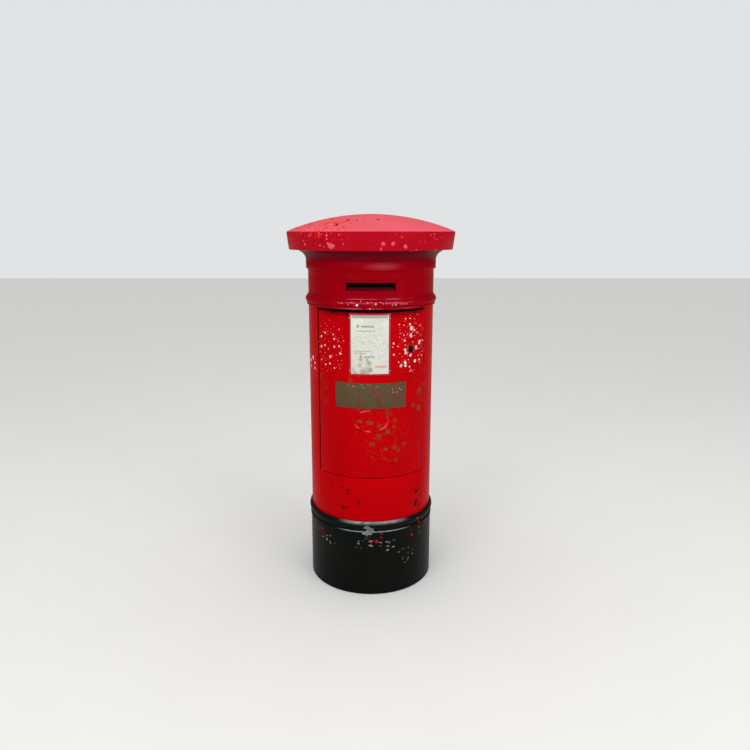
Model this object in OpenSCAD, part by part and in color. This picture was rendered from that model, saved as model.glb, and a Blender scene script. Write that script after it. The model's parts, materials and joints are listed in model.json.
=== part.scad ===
// Cylindrical cast-iron street mailbox with a domed cap, a curved front door and a black base.
// Millimetres, +Z up, origin on the ground at the centre of the column. The door faces -Y.
// Angles run from the front (-Y) towards +X, so the hinge side is negative and the lock side positive.

/* [Column] */
// Outside diameter of the plain column
column_d = 530; // [460:5:600]
// Thickness of the cast wall of column and door
wall = 16; // [14:1:19]
// Height of the black base
base_h = 331; // [280:1:400]
// Height of the plain column between base and collar
shaft_h = 888; // [750:1:1050]
// Height of the moulded collar above the door
collar_h = 42; // [36:1:50]
// How far the collar's round bead stands out from the column
collar_out = 12.5; // [9:0.5:16]
// Height of the plain neck that holds the posting slot
neck_h = 104; // [96:1:140]
// Height of the band at the top of the neck
cornice_h = 36; // [30:1:45]
// How far that band stands out from the column
cornice_out = 8; // [4:0.5:12]

/* [Base] */
// Thickness of the base wall
base_wall = 16; // [14:1:20]
// How far the base wall stands out from the column
base_out = 5; // [3:0.5:8]
// Thickness of the foot flange inside the base
foot_t = 18; // [14:1:24]
// Inside diameter of the foot flange
foot_bore_d = 400; // [360:5:420]
// Circle of the anchor holes in the foot flange
anchor_circle_d = 454; // [448:1:458]
// Diameter of each anchor hole
anchor_hole_d = 22; // [18:1:24]

/* [Cap] */
// Diameter of the cap at its rim
cap_d = 702; // [650:2:760]
// Height of the cap's upright fascia
fascia_h = 73; // [60:1:90]
// How much narrower the fascia is at its foot, on each side
fascia_lean = 9; // [0:1:14]
// Height of the hollow moulding below the fascia
cove_h = 42; // [36:1:50]
// Rise of the dome above the fascia
dome_h = 70; // [50:1:90]
// Thickness of the cap casting
cap_wall = 12; // [10:1:14]

/* [Door] */
// Angle from the front to the lock-side edge of the door
door_half_angle = 54; // [48:0.5:56]
// Height of the door sill above the base
sill_h = 191; // [150:1:230]
// Gap at the lock side and foot of the door
door_gap = 3; // [2:0.5:4]
// Gap above the door, in the shade of the collar
head_gap = 10; // [6:0.5:12]
// Gap between the hinge axis and the hinge jamb
hinge_relief = 11; // [10.8:0.1:12]
// Diameter of the hinge pins
hinge_pin_d = 9; // [8:0.5:10]
// How far the stiffening ribs stand in from the door
rib_h = 8; // [5:1:10]

/* [Posting slot] */
// Width of the posting slot along the outside of the neck
slot_w = 200; // [160:1:220]
// Height of the posting slot at the outside of the neck
slot_h = 38; // [32:1:44]
// How much the sill rises from the outside to the inside of the wall
slot_rise = 18.5; // [10:0.5:20]

/* [Plates] */
// Width of the notice plate along the door
notice_w = 156; // [130:1:180]
// Height of the notice plate
notice_h = 238; // [200:1:260]
// Thickness of the notice plate
notice_t = 1.5; // [1:0.1:2]
// Width of the blank plate along the door
blank_w = 297; // [240:1:320]
// Height of the blank plate
blank_h = 104; // [80:1:120]
// Thickness of the blank plate
blank_t = 2; // [1.5:0.1:3]

/* [Lock] */
// Angle of the keyhole from the front
key_angle = 36; // [34:0.5:37]
// Depth of the keyhole below the collar
key_drop = 161; // [140:1:200]
// Width of the lock case
lock_w = 100; // [98:1:102]
// Height of the lock case
lock_h = 120; // [110:1:150]
// Depth of the lock case
lock_depth = 30; // [28:1:32]
// Travel of the lock bolt
bolt_throw = 20; // [18:0.5:21]

/* [Inside] */
// Distance of the letter guard in front of the axis
guard_y = 110; // [100:1:116]
// Height of the hand opening below the letter guard
guard_gap = 218; // [180:1:260]
// Number of upright wires in the letter guard
guard_wires = 11; // [7:2:15]
// Thickness of the floor plate
floor_t = 4; // [3:0.5:6]

/* [Hidden] */

round_fn = 96;
small_fn = 32;
slack = 0.3;          // gap between curved faces that lie on each other
fit = 0.02;           // gap of a press fit
run = 0.05;           // gap of a running fit
eps = 1;              // overlap of solids that are fused or cut
head_seat = 0.12;     // lift of a flat screw head over a hollow surface

// Column radii and levels
column_r = column_d / 2;
bore_r = column_r - wall;
base_r = column_r + base_out;
z_sill = base_h + sill_h;
z_collar = base_h + shaft_h;
z_neck = z_collar + collar_h;
z_cornice = z_neck + neck_h;
z_cap = z_cornice + cornice_h;
z_fascia = z_cap + cove_h;
z_rim = z_fascia + fascia_h;
z_top = z_rim + dome_h;

// Flanges and their bolts
flange_t = 16;
flange_in = 27;
flange_bore_r = bore_r - flange_in;
bolt_circle_r = bore_r - flange_in / 2 + 0.5;
bolt_r = 5.9;
bolt_hole_r = 6.5;
bolt_head_r = 10.4;
bolt_head_h = 8;
washer_r = 12;
washer_t = 2;
nut_h = 10;
base_bolt_turns = [for (i = [0 : 5]) 30 + 60 * i];
corner_turns = [for (i = [0 : 3]) 45 + 90 * i];

// Collar mouldings
collar_lower_h = 8;
collar_upper_h = 6;
collar_lower_out = 7;
collar_upper_out = 5;
collar_root_out = 3;

// Base mouldings
bead_h = 30;
bead_root_out = 3;
bead_out = 11;
ring_h = 13;
ring_out = 7.5;
groove_h = 12;
base_bore_r = base_r - base_wall;

// Cap
cap_r = cap_d / 2;
cap_foot_r = cap_r - fascia_lean;
cap_seat_r = column_r + cornice_out;
cap_seat_w = 14;
drip_w = 6;
drip_h = 3;
rim_round = 4;
cove_steps = 12;
dome_steps = 20;
cap_boss_r = 16;
cap_boss_h = 24;
cap_boss_w = 20;
cap_bolt_in = 18;

// Door opening, stops and hinge
hinge_r = column_r - wall / 2;
hinge_nose_r = wall / 2 - 0.4;
hinge_angle = 1.5 - door_half_angle;
jamb_angle = hinge_angle - asin(hinge_relief / hinge_r);
lock_jamb_angle = door_half_angle + asin(door_gap / column_r);
head_h = 3;
z_head = z_collar - head_h;
z_door_bottom = z_sill + door_gap;
z_door_top = z_head - head_gap;
stop_in = 14;
stop_r = bore_r - stop_in;
stop_clear = 0.5;
stop_lap = 12;
stop_lap_angle = asin(stop_lap / column_r);
stop_back_angle = 3.5;
hinge_stop_lap_angle = asin(8 / column_r);
hinge_pin_r = hinge_pin_d / 2;
hinge_pin_in = 40;
bush_r = hinge_pin_r + 1.7;
bush_h = 24;
pin_seat = 40;
thrust_r = 7.4;

// Door ribs
rib_w = 10;
rib_edge = 5;
rib_r = bore_r - rib_h;
z_rib_low = z_door_bottom + stop_lap + rib_edge;
z_rib_high = z_door_top - stop_lap - rib_edge - rib_w;
rib_angle = asin(rib_w / column_r);
rib_step_angle = 0.1;
lock_rib_angle = door_half_angle - stop_lap_angle - asin(rib_edge / column_r) - rib_angle;
hinge_rib_angle = hinge_angle + asin((stop_lap + rib_edge) / column_r);

// Posting slot
slot_angle = slot_w / column_r * 90 / PI;
z_slot = z_neck + 22.5;
slot_margin = 6;
slot_margin_out = 2.5;
slot_lip_h = 6;
slot_lip_out = 6;
slot_margin_angle = slot_margin / column_r * 180 / PI;

// Notice plate and its frame
notice_margin = 8;
z_notice = z_door_top - notice_margin - notice_h;
notice_turn = -1;
notice_angle = notice_w / column_r * 90 / PI;
notice_recess = 2;
notice_lap = 1.5;
notice_frame_w = 5;
notice_frame_out = 1.3;
notice_screw_r = 1.4;
mm_angle = 180 / PI / column_r;

// Blank plate
blank_margin = 36;
z_blank = z_notice - blank_margin - blank_h;
blank_angle = blank_w / column_r * 90 / PI;
rivet_r = 2.5;
rivet_inset = 11;
rivet_in = 8;

// Oval moulding on the door
oval_margin = 4;
oval_w = 150;
oval_h = 96;
oval_band = 8;
oval_out = 3;
z_oval = z_blank - oval_margin - oval_h / 2;

// Keyhole, escutcheon and cover
z_key = z_collar - key_drop;
key_boss_r = 28;
key_boss_n = column_r + 3.5;
key_hole_r = 10;
escutcheon_r = 22;
escutcheon_t = 2.5;
key_slot_w = 4;
key_slot_h = 15;
key_round_r = 4.5;
cover_t = 3;
cover_gap = 0.3;
cover_pivot_h = 14;
cover_n = key_boss_n + escutcheon_t + cover_gap;

// Lock
lock_wall = 3;
lock_front_n = bore_r - 16;
lock_back_n = lock_front_n - lock_depth;
lock_left = -lock_w / 2 - 2;
lock_right = lock_left + lock_w;
lock_screw_r = 3;
lock_screw_inset = 9;
lock_pad_r = 9;
lock_post_r = lock_screw_inset - lock_wall + 1;
lock_screw_in = 9;
nose_n = lock_back_n + 5;
nose_t = 12;
nose_h = 32;
nose_len = 18;
nose_tip = lock_right + 2;
tail_low = 12;
tail_high = 26;
tail_left = -33;
tail_right = lock_right - lock_wall - bolt_throw - 1;
talon_left = -18;
talon_w = 16;
talon_h = 7;
barrel_r = 8;
cam_r = 17;
cam_w = 6;
cam_turn = 50;
lever_t = 1.6;
lever_gap = 0.6;
lever_count = 3;
lever_pivot = [-40, 18];
lever_pivot_r = 2.5;
lever_low = 10.5;
lever_high = 26;
lever_right = 26;
keeper_t = 2.8;
keeper_h = 70;
keeper_screw_r = 2;

// Chute behind the slot, and the flap that hangs in it
chute_side = 12;
chute_t = 2;
chute_half_w = column_r * sin(slot_angle) + chute_side;
chute_angle = asin(chute_half_w / bore_r);
chute_drop = 80;
chute_lip = 34;
chute_screw_r = 2.5;
chute_flange_angle = 6;
chute_screw_angle = chute_angle + 3.4;
z_chute = z_slot + slot_rise - 6;
chute_in = guard_y + 8;
flap_in = 8;
flap_y = sqrt(pow(bore_r, 2) - pow(chute_half_w, 2)) - flap_in;
flap_half_w = chute_half_w - chute_t - 8;
flap_t = 2;
flap_h = slot_h;
flap_rod_r = 2.5;
flap_eye_r = 4.5;
z_flap = z_slot + slot_h + 8.5;
z_chute_top = z_flap + 14;

// Letter guard
guard_rod_r = 4;
guard_cross_r = 3.5;
guard_wire_r = 2;
guard_half_w = bore_r - 67;
z_guard_low = z_sill + guard_gap;
z_guard_high = z_head - 28;
bracket_h = 12;
bracket_t = 6;
bracket_eye_r = 8;
bracket_foot_t = 3;
bracket_foot_h = 40;
bracket_arm_angle = acos(guard_y / bore_r);
bracket_foot_from = bracket_arm_angle - 2.8;
bracket_foot_to = bracket_arm_angle + 7.2;
bracket_screw_angle = bracket_arm_angle + 4.2;
bracket_levels = [z_guard_low + 60, z_guard_high - 58];
guard_screw_r = 2.9;

// Floor
floor_r = stop_r - 2.5;
z_floor = z_sill - 6;
floor_turns = [-150, -78, 78, 150];
floor_leg_r = 205;
floor_leg_t = 6;
floor_bracket_t = 4;
floor_foot_h = 46;
floor_foot_angle = 4;
floor_screw_r = 3;
floor_screw_at = 217;
floor_slot_w = 8;
floor_slot_l = 240;
floor_slots = 7;
floor_slot_pitch = 44;

// ---------- shapes used again ----------

// Half-round bulge from z0 to z1, standing "out" past radius r
function bulge(r, z0, z1, out, steps = 14) =
    [for (i = [0 : steps]) let (u = 180 * i / steps)
        [r + out * sin(u), (z0 + z1) / 2 - (z1 - z0) / 2 * cos(u)]];

// Rectangle in the half plane that is revolved
module ring(r0, r1, z0, z1) {
    translate([r0, z0]) square([r1 - r0, z1 - z0]);
}

// Part of a revolved shape between two angles from the front
module sector(from, to) {
    rotate([0, 0, from - 90]) rotate_extrude(angle = to - from, $fn = round_fn * 2) children();
}

// Children are drawn with X along the wall, Y up and Z outwards from the axis
module outward(turn, height = 0) {
    rotate([0, 0, turn]) translate([0, 0, height]) rotate([90, 0, 0]) children();
}

// Upright cylinder on a radius
module post(r, turn, radius, z0, z1) {
    rotate([0, 0, turn]) translate([0, -r, z0]) cylinder(r = radius, h = z1 - z0, $fn = small_fn);
}

// Round-headed screw along +Z: the head's face is at 0 and the shank runs down
module screw(head_r, head_h, shank_r, length) {
    cylinder(r1 = head_r, r2 = head_r * 0.7, h = head_h, $fn = small_fn);
    translate([0, 0, -length]) cylinder(r = shank_r, h = length + 0.1, $fn = small_fn);
}

// ---------- castings ----------

module base() {
    z_ring_top = base_h - bead_h - groove_h;
    color("#1b1b19") difference() {
        rotate_extrude($fn = round_fn) polygon(concat(
            [[foot_bore_d / 2, 0], [base_r - 3, 0], [base_r, 3],
             [base_r, z_ring_top - ring_h], [column_r + ring_out, z_ring_top - ring_h + 2],
             [column_r + ring_out, z_ring_top - 2], [column_r + bead_root_out, z_ring_top],
             [column_r + bead_root_out, base_h - bead_h]],
            bulge(column_r + bead_root_out, base_h - bead_h, base_h, bead_out - bead_root_out),
            [[flange_bore_r, base_h], [flange_bore_r, base_h - flange_t],
             [base_bore_r, base_h - flange_t], [base_bore_r, foot_t], [foot_bore_d / 2, foot_t]]));
        for (turn = base_bolt_turns)
            post(bolt_circle_r, turn, bolt_hole_r, base_h - flange_t - eps, base_h + eps);
        for (turn = corner_turns)
            post(anchor_circle_d / 2, turn, anchor_hole_d / 2, -eps, foot_t + eps);
    }
}

module column_outline() {
    polygon(concat(
        [[column_r, base_h], [column_r, z_collar],
         [column_r + collar_lower_out, z_collar],
         [column_r + collar_lower_out, z_collar + collar_lower_h]],
        bulge(column_r + collar_root_out, z_collar + collar_lower_h, z_neck - collar_upper_h,
            collar_out - collar_root_out),
        [[column_r + collar_upper_out, z_neck - collar_upper_h],
         [column_r + collar_upper_out, z_neck - 2], [column_r + 2, z_neck], [column_r, z_neck],
         [column_r, z_cornice], [cap_seat_r - 3, z_cornice], [cap_seat_r, z_cornice + 4],
         [cap_seat_r, z_cap],
         [flange_bore_r, z_cap], [flange_bore_r, z_cap - flange_t], [bore_r, z_cap - flange_t],
         [bore_r, base_h + flange_t], [flange_bore_r, base_h + flange_t],
         [flange_bore_r, base_h]]));
}

// Ledge that the closed door rests against, all round the opening
module door_stops() {
    difference() {
        sector(jamb_angle - stop_back_angle, lock_jamb_angle + stop_back_angle)
            ring(stop_r, bore_r + eps, z_sill - stop_in, z_head + stop_lap);
        sector(hinge_angle + hinge_stop_lap_angle, door_half_angle - stop_lap_angle)
            ring(stop_r - eps, bore_r + 2 * eps, z_door_bottom + stop_lap, z_door_top - stop_lap);
    }
}

// Raised margin and rain lip round the posting slot
module slot_margin_moulding() {
    side = slot_angle + slot_margin_angle;
    sector(-side, side)
        ring(bore_r + 2, column_r + slot_margin_out, z_slot - slot_margin,
            z_slot + slot_h + slot_margin);
    sector(-side - 1, side + 1)
        ring(bore_r + 2, column_r + slot_lip_out, z_slot + slot_h + slot_margin - 2,
            z_slot + slot_h + slot_margin - 2 + slot_lip_h);
}

module slot_cut() {
    sector(-slot_angle, slot_angle) polygon([
        [bore_r - eps, z_slot + slot_rise], [bore_r, z_slot + slot_rise],
        [column_r, z_slot], [column_r + 20, z_slot - 20 * slot_rise / wall],
        [column_r + 20, z_slot + slot_h], [bore_r - eps, z_slot + slot_h]]);
}

module column() {
    color("#b10a10") difference() {
        union() {
            rotate_extrude($fn = round_fn) column_outline();
            door_stops();
            slot_margin_moulding();
        }
        sector(jamb_angle, lock_jamb_angle)
            ring(bore_r - stop_clear, column_r + 20, z_sill, z_head);
        slot_cut();
        post(hinge_r, hinge_angle, bush_r + fit, z_head - eps, z_head + bush_h);
        post(hinge_r, hinge_angle, hinge_pin_r + fit, z_sill - pin_seat, z_sill + eps);
        for (turn = base_bolt_turns)
            post(bolt_circle_r, turn, bolt_hole_r, base_h - eps, base_h + flange_t + eps);
        for (turn = corner_turns)
            post(bolt_circle_r, turn, bolt_hole_r, z_cap - flange_t - eps, z_cap + eps);
        chute_screw_places() cylinder(r = chute_screw_r + run, h = 14, center = true, $fn = small_fn);
        guard_screw_places() cylinder(r = guard_screw_r + run, h = 18, center = true, $fn = small_fn);
        floor_screw_places() cylinder(r = floor_screw_r + run, h = 18, center = true, $fn = small_fn);
        keeper_screw_places()
            cylinder(r = keeper_screw_r + run, h = 16, center = true, $fn = small_fn);
    }
}

function dome_z(r, top) =
    let (sphere_r = (cap_r * cap_r + dome_h * dome_h) / (2 * dome_h))
    top - sphere_r + sqrt(sphere_r * sphere_r - r * r);

module cap() {
    cove_r = cap_foot_r - drip_w - cap_seat_r;
    seat_in = cap_seat_r - cap_seat_w;
    fascia_in_low = cap_foot_r - cap_wall;
    fascia_in_high = cap_r - cap_wall - rim_round;
    color("#c9303c") difference() {
        union() {
            rotate_extrude($fn = round_fn) polygon(concat(
                [for (i = [0 : cove_steps]) let (u = 90 * i / cove_steps)
                    [cap_seat_r + cove_r * (1 - cos(u)), z_cap + (cove_h + drip_h) * sin(u)]],
                [[cap_foot_r - drip_w + 1.5, z_fascia],
                 [cap_foot_r, z_fascia], [cap_r, z_rim - rim_round]],
                [for (i = [0 : dome_steps]) let (r = (cap_r - 2) * (1 - i / dome_steps))
                    [r, dome_z(r, z_top)]],
                [for (i = [0 : dome_steps]) let (r = fascia_in_high * i / dome_steps)
                    [r, dome_z(r, z_top) - cap_wall]],
                [[fascia_in_low, z_fascia + drip_h + cap_wall + 4]],
                [for (i = [0 : cove_steps]) let (u = 90 - 90 * i / cove_steps)
                    [seat_in + (fascia_in_low - 6 - seat_in) * (1 - cos(u)),
                     z_cap + cap_wall + (cove_h + drip_h) * sin(u)]],
                [[seat_in, z_cap]]));
            for (turn = corner_turns) {
                post(bolt_circle_r, turn, cap_boss_r, z_cap, z_cap + cap_boss_h);
                rotate([0, 0, turn])
                    translate([-cap_boss_w / 2, -seat_in - 5, z_cap])
                    cube([cap_boss_w, seat_in + 5 - bolt_circle_r, cap_boss_h]);
            }
        }
        for (turn = corner_turns)
            post(bolt_circle_r, turn, bolt_r + fit, z_cap - eps, z_cap + cap_bolt_in + 2);
    }
}

// ---------- bolts of the castings ----------

module hex_bolt(turn, z_seat, up, length) {
    rotate([0, 0, turn]) translate([0, -bolt_circle_r, z_seat]) mirror([0, 0, up ? 0 : 1]) {
        cylinder(r = bolt_r, h = length, $fn = small_fn);
        translate([0, 0, -washer_t]) cylinder(r = washer_r, h = washer_t, $fn = small_fn);
        translate([0, 0, -washer_t - bolt_head_h]) cylinder(r = bolt_head_r, h = bolt_head_h, $fn = 6);
    }
}

module base_bolts() {
    color("#5b5d5e") for (turn = base_bolt_turns)
        hex_bolt(turn, base_h + flange_t, false, 2 * flange_t + nut_h + 4);
}

module base_nuts() {
    color("#5b5d5e") for (turn = base_bolt_turns) difference() {
        rotate([0, 0, turn]) translate([0, -bolt_circle_r, base_h - flange_t - nut_h])
            cylinder(r = bolt_head_r, h = nut_h, $fn = 6);
        post(bolt_circle_r, turn, bolt_r + fit, base_h - flange_t - nut_h - eps, base_h);
    }
}

module cap_bolts() {
    color("#5b5d5e") for (turn = corner_turns)
        hex_bolt(turn, z_cap - flange_t, true, flange_t + cap_bolt_in);
}

// ---------- door ----------

module door_ribs() {
    left = hinge_rib_angle;
    right = lock_rib_angle + rib_angle;
    middle = (z_rib_high + z_rib_low) / 2 - 90;
    for (z = [z_rib_low, middle, z_rib_high])
        sector(left, right) ring(rib_r, bore_r + eps, z, z + rib_w);
    for (edge = [left, right - rib_angle])
        sector(edge + rib_step_angle, edge + rib_angle - rib_step_angle)
            ring(rib_r + 0.5, bore_r + eps, z_rib_low + 1, z_rib_high + rib_w - 1);
}

// Plain raised oval on the outside of the door
module door_oval() {
    function oval(w, h) = [for (i = [0 : 47]) [w / 2 * cos(i * 7.5), h / 2 * sin(i * 7.5)]];
    intersection() {
        outward(0, z_oval) linear_extrude(height = column_r + 20) difference() {
            polygon(oval(oval_w, oval_h));
            polygon(oval(oval_w - 2 * oval_band, oval_h - 2 * oval_band));
        }
        sector(-25, 25) ring(column_r - 4, column_r + oval_out, z_oval - oval_h, z_oval + oval_h);
    }
}

// Places of the four screws that hold the lock, drawn with X along the wall and Y up
module lock_screw_places() {
    outward(key_angle, z_key)
        for (x = [lock_left + lock_screw_inset, lock_right - lock_screw_inset],
             y = [-1, 1] * (lock_h / 2 - lock_screw_inset))
            translate([x, y, 0]) children();
}

module door() {
    color("#bf0a10") difference() {
        union() {
            sector(hinge_angle, door_half_angle) ring(bore_r, column_r, z_door_bottom, z_door_top);
            post(hinge_r, hinge_angle, hinge_nose_r, z_door_bottom, z_door_top);
            door_ribs();
            door_oval();
            outward(key_angle, z_key) translate([0, 0, bore_r - 4])
                cylinder(r = key_boss_r, h = key_boss_n - bore_r + 4, $fn = 64);
            lock_screw_places() translate([0, 0, lock_front_n])
                cylinder(r = lock_pad_r, h = bore_r + 6 - lock_front_n, $fn = small_fn);
        }
        post(hinge_r, hinge_angle, hinge_pin_r + fit, z_door_top - hinge_pin_in, z_door_top + eps);
        post(hinge_r, hinge_angle, hinge_pin_r + run, z_door_bottom - eps,
            z_door_bottom + hinge_pin_in);
        rotate([0, 0, notice_turn])
            sector(-notice_angle - (notice_frame_w + slack) * mm_angle,
                notice_angle + (notice_frame_w + slack) * mm_angle)
            ring(column_r - notice_recess, column_r + 5,
                z_notice - notice_frame_w - slack, z_notice + notice_h + notice_frame_w + slack);
        notice_screw_places() cylinder(r = notice_screw_r + run, h = 20, center = true,
            $fn = small_fn);
        rivet_places() cylinder(r = rivet_r + run, h = 2 * rivet_in + 2, center = true,
            $fn = small_fn);
        outward(key_angle, z_key) translate([0, 0, bore_r - 10])
            cylinder(r = key_hole_r, h = 60, $fn = small_fn);
        lock_screw_places() translate([0, 0, lock_front_n - eps])
            cylinder(r = lock_screw_r + run, h = lock_screw_in + 1 + eps, $fn = small_fn);
    }
}

module hinge_pin_top() {
    color("#8b8d8f") post(hinge_r, hinge_angle, hinge_pin_r, z_door_top - hinge_pin_in,
        z_head + bush_h - 1);
}

module hinge_pin_bottom() {
    color("#8b8d8f") post(hinge_r, hinge_angle, hinge_pin_r, z_sill - pin_seat,
        z_door_bottom + hinge_pin_in - 1);
}

module hinge_bush() {
    color("#a8894a") difference() {
        post(hinge_r, hinge_angle, bush_r, z_head, z_head + bush_h);
        post(hinge_r, hinge_angle, hinge_pin_r + run, z_head - eps, z_head + bush_h + eps);
    }
}

module hinge_washer() {
    color("#a8894a") difference() {
        post(hinge_r, hinge_angle, thrust_r, z_sill, z_door_bottom - run);
        post(hinge_r, hinge_angle, hinge_pin_r + fit, z_sill - eps, z_door_bottom + eps);
    }
}

// ---------- plates on the door ----------

module notice_plate() {
    r0 = column_r - notice_recess + slack / 2;
    color("#e6e6e0") rotate([0, 0, notice_turn]) sector(-notice_angle, notice_angle)
        ring(r0, r0 + notice_t, z_notice, z_notice + notice_h);
}

// Places of the notice frame's screws, on the upright sides of the frame
module notice_screw_places() {
    rotate([0, 0, notice_turn])
        for (side = [-1, 1], z = [z_notice + 14, z_notice + notice_h - 14])
            outward(side * (notice_angle + (notice_frame_w / 2 + 0.2) * mm_angle), z)
                translate([0, 0, column_r + notice_frame_out]) children();
}

module notice_frame() {
    r0 = column_r - notice_recess + slack / 2;
    out = notice_angle + notice_frame_w * mm_angle;
    in = notice_angle - notice_lap * mm_angle;
    seat = notice_angle + 0.2 * mm_angle;
    color("#b10a10") difference() {
        rotate([0, 0, notice_turn]) sector(-out, out)
            ring(r0, column_r + notice_frame_out,
                z_notice - notice_frame_w, z_notice + notice_h + notice_frame_w);
        rotate([0, 0, notice_turn]) sector(-in, in)
            ring(r0 - eps, column_r + 5, z_notice + notice_lap, z_notice + notice_h - notice_lap);
        rotate([0, 0, notice_turn]) sector(-seat, seat)
            ring(r0 - eps, r0 + notice_t + 0.2, z_notice - 0.2, z_notice + notice_h + 0.2);
        notice_screw_places() cylinder(r = notice_screw_r + run, h = 20, center = true,
            $fn = small_fn);
    }
}

module notice_screws() {
    color("#8b8d8f") notice_screw_places() translate([0, 0, head_seat])
        screw(2.4, 1.2, notice_screw_r, 9);
}

module rivet_places() {
    inset = rivet_inset * mm_angle;
    for (side = [-1, 1], z = [z_blank + rivet_inset, z_blank + blank_h - rivet_inset])
        outward(side * (blank_angle - inset), z) translate([0, 0, column_r]) children();
}

module blank_plate() {
    color("#574a28") difference() {
        sector(-blank_angle, blank_angle)
            ring(column_r + slack, column_r + slack + blank_t, z_blank, z_blank + blank_h);
        rivet_places() cylinder(r = rivet_r + run, h = 20, center = true, $fn = small_fn);
    }
}

module blank_plate_rivets() {
    color("#6a5c36") rivet_places() translate([0, 0, slack + blank_t + head_seat])
        screw(4.5, 2, rivet_r, rivet_in + blank_t);
}

module escutcheon() {
    color("#a01015") outward(key_angle, z_key) difference() {
        translate([0, 0, key_boss_n]) cylinder(r = escutcheon_r, h = escutcheon_t, $fn = 64);
        translate([0, 0, key_boss_n - eps]) cylinder(r = key_round_r, h = 10, $fn = small_fn);
        translate([-key_slot_w / 2, -key_slot_h, key_boss_n - eps])
            cube([key_slot_w, key_slot_h, 10]);
        translate([0, cover_pivot_h, key_boss_n - eps])
            cylinder(r = rivet_r + fit, h = 10, $fn = small_fn);
    }
}

module keyhole_cover() {
    color("#a01015") outward(key_angle, z_key) difference() {
        hull() {
            translate([0, cover_pivot_h, cover_n]) cylinder(r = 6.5, h = cover_t, $fn = 32);
            translate([0, -6, cover_n]) cylinder(r = 11, h = cover_t, $fn = 32);
        }
        translate([0, cover_pivot_h, cover_n - eps]) cylinder(r = rivet_r + run, h = 10, $fn = small_fn);
    }
}

module keyhole_cover_rivet() {
    color("#a01015") outward(key_angle, z_key)
        translate([0, cover_pivot_h, cover_n + cover_t + cover_gap])
        screw(5, 2, rivet_r, cover_t + 2 * cover_gap + escutcheon_t);
}

// ---------- lock on the back of the door ----------

module lock_case() {
    nose_low = -nose_h / 2 - slack;
    color("#46494b") difference() {
        union() {
            outward(key_angle, z_key) difference() {
                translate([lock_left, -lock_h / 2, lock_back_n])
                    cube([lock_w, lock_h, lock_depth]);
                translate([lock_left + lock_wall, lock_wall - lock_h / 2, lock_back_n - eps])
                    cube([lock_w - 2 * lock_wall, lock_h - 2 * lock_wall,
                          lock_depth - lock_wall + eps]);
            }
            lock_screw_places() translate([0, 0, lock_back_n])
                cylinder(r = lock_post_r, h = lock_depth - 1, $fn = small_fn);
            outward(key_angle, z_key) translate([lever_pivot[0], lever_pivot[1], lock_back_n])
                cylinder(r = lever_pivot_r, h = lock_depth - 1, $fn = small_fn);
        }
        lock_screw_places() translate([0, 0, lock_back_n - eps])
            cylinder(r = lock_screw_r + run, h = lock_depth + 2 * eps, $fn = small_fn);
        outward(key_angle, z_key) {
            translate([lock_right - lock_wall - eps, nose_low, nose_n - slack])
                cube([lock_wall + 2 * eps, nose_h + 2 * slack, nose_t + 2 * slack]);
            translate([0, 0, lock_back_n]) cylinder(r = barrel_r + run, h = 60, $fn = small_fn);
        }
    }
}

module lock_cover() {
    color("#54585a") difference() {
        outward(key_angle, z_key) translate([lock_left, -lock_h / 2, lock_back_n - lock_wall])
            cube([lock_w, lock_h, lock_wall]);
        lock_screw_places() translate([0, 0, lock_back_n - lock_wall - eps])
            cylinder(r = lock_screw_r + run, h = 10, $fn = small_fn);
    }
}

module lock_screws() {
    color("#8b8d8f") lock_screw_places() translate([0, 0, lock_back_n - lock_wall])
        mirror([0, 0, 1]) screw(6, 3.5, lock_screw_r, lock_wall + lock_depth + lock_screw_in);
}

module lock_bolt() {
    color("#b08d43") outward(key_angle, z_key) difference() {
        union() {
            translate([nose_tip - nose_len - bolt_throw, -nose_h / 2, nose_n])
                cube([nose_len + bolt_throw, nose_h, nose_t]);
            translate([tail_left, tail_low, nose_n])
                cube([tail_right - tail_left, tail_high - tail_low, nose_t]);
        }
        translate([talon_left, tail_low - eps, nose_n - eps])
            cube([talon_w, talon_h + eps, nose_t + 2 * eps]);
    }
}

module lock_barrel() {
    z0 = lock_back_n + 1;
    color("#b08d43") outward(key_angle, z_key) difference() {
        union() {
            translate([0, 0, z0]) cylinder(r = barrel_r, h = lock_front_n + 6 - z0, $fn = small_fn);
            rotate([0, 0, cam_turn]) translate([-cam_w / 2, 0, nose_n + 0.5])
                cube([cam_w, cam_r, nose_t - 1]);
        }
        translate([-1.5, -barrel_r - eps, lock_front_n - 14])
            cube([3, barrel_r + 4, 30]);
        translate([0, 0, lock_front_n - 14]) cylinder(r = 3, h = 30, $fn = small_fn);
    }
}

module lock_levers() {
    first = nose_n + nose_t + 1;
    color("#b08d43") outward(key_angle, z_key) for (i = [0 : lever_count - 1])
        translate([0, 0, first + i * (lever_t + lever_gap)]) difference() {
            union() {
                translate([lever_pivot[0], lever_low, 0])
                    cube([lever_right - lever_pivot[0], lever_high - lever_low, lever_t]);
                translate([lever_pivot[0], (lever_low + lever_high) / 2, 0])
                    cylinder(r = 7, h = lever_t, $fn = small_fn);
            }
            translate([lever_pivot[0], lever_pivot[1], -eps])
                cylinder(r = lever_pivot_r + run, h = 5, $fn = small_fn);
            translate([-6 - i * 2, (lever_low + lever_high) / 2 - 3, -eps])
                cube([24, 6, 5]);
        }
}

// Places of the keeper's screws on the stop behind the lock edge, Z outwards
module keeper_screw_places() {
    turn = lock_jamb_angle + 1;
    for (z = [-1, 1] * (keeper_h / 2 - 8))
        outward(turn, z_key + z) translate([0, 0, stop_r]) children();
}

module lock_keeper() {
    color("#8b8d8f") difference() {
        sector(door_half_angle - stop_lap_angle, lock_jamb_angle + stop_back_angle)
            ring(stop_r - keeper_t, stop_r - slack / 3, z_key - keeper_h / 2, z_key + keeper_h / 2);
        keeper_screw_places() cylinder(r = keeper_screw_r + run, h = 16, center = true,
            $fn = small_fn);
    }
}

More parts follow.
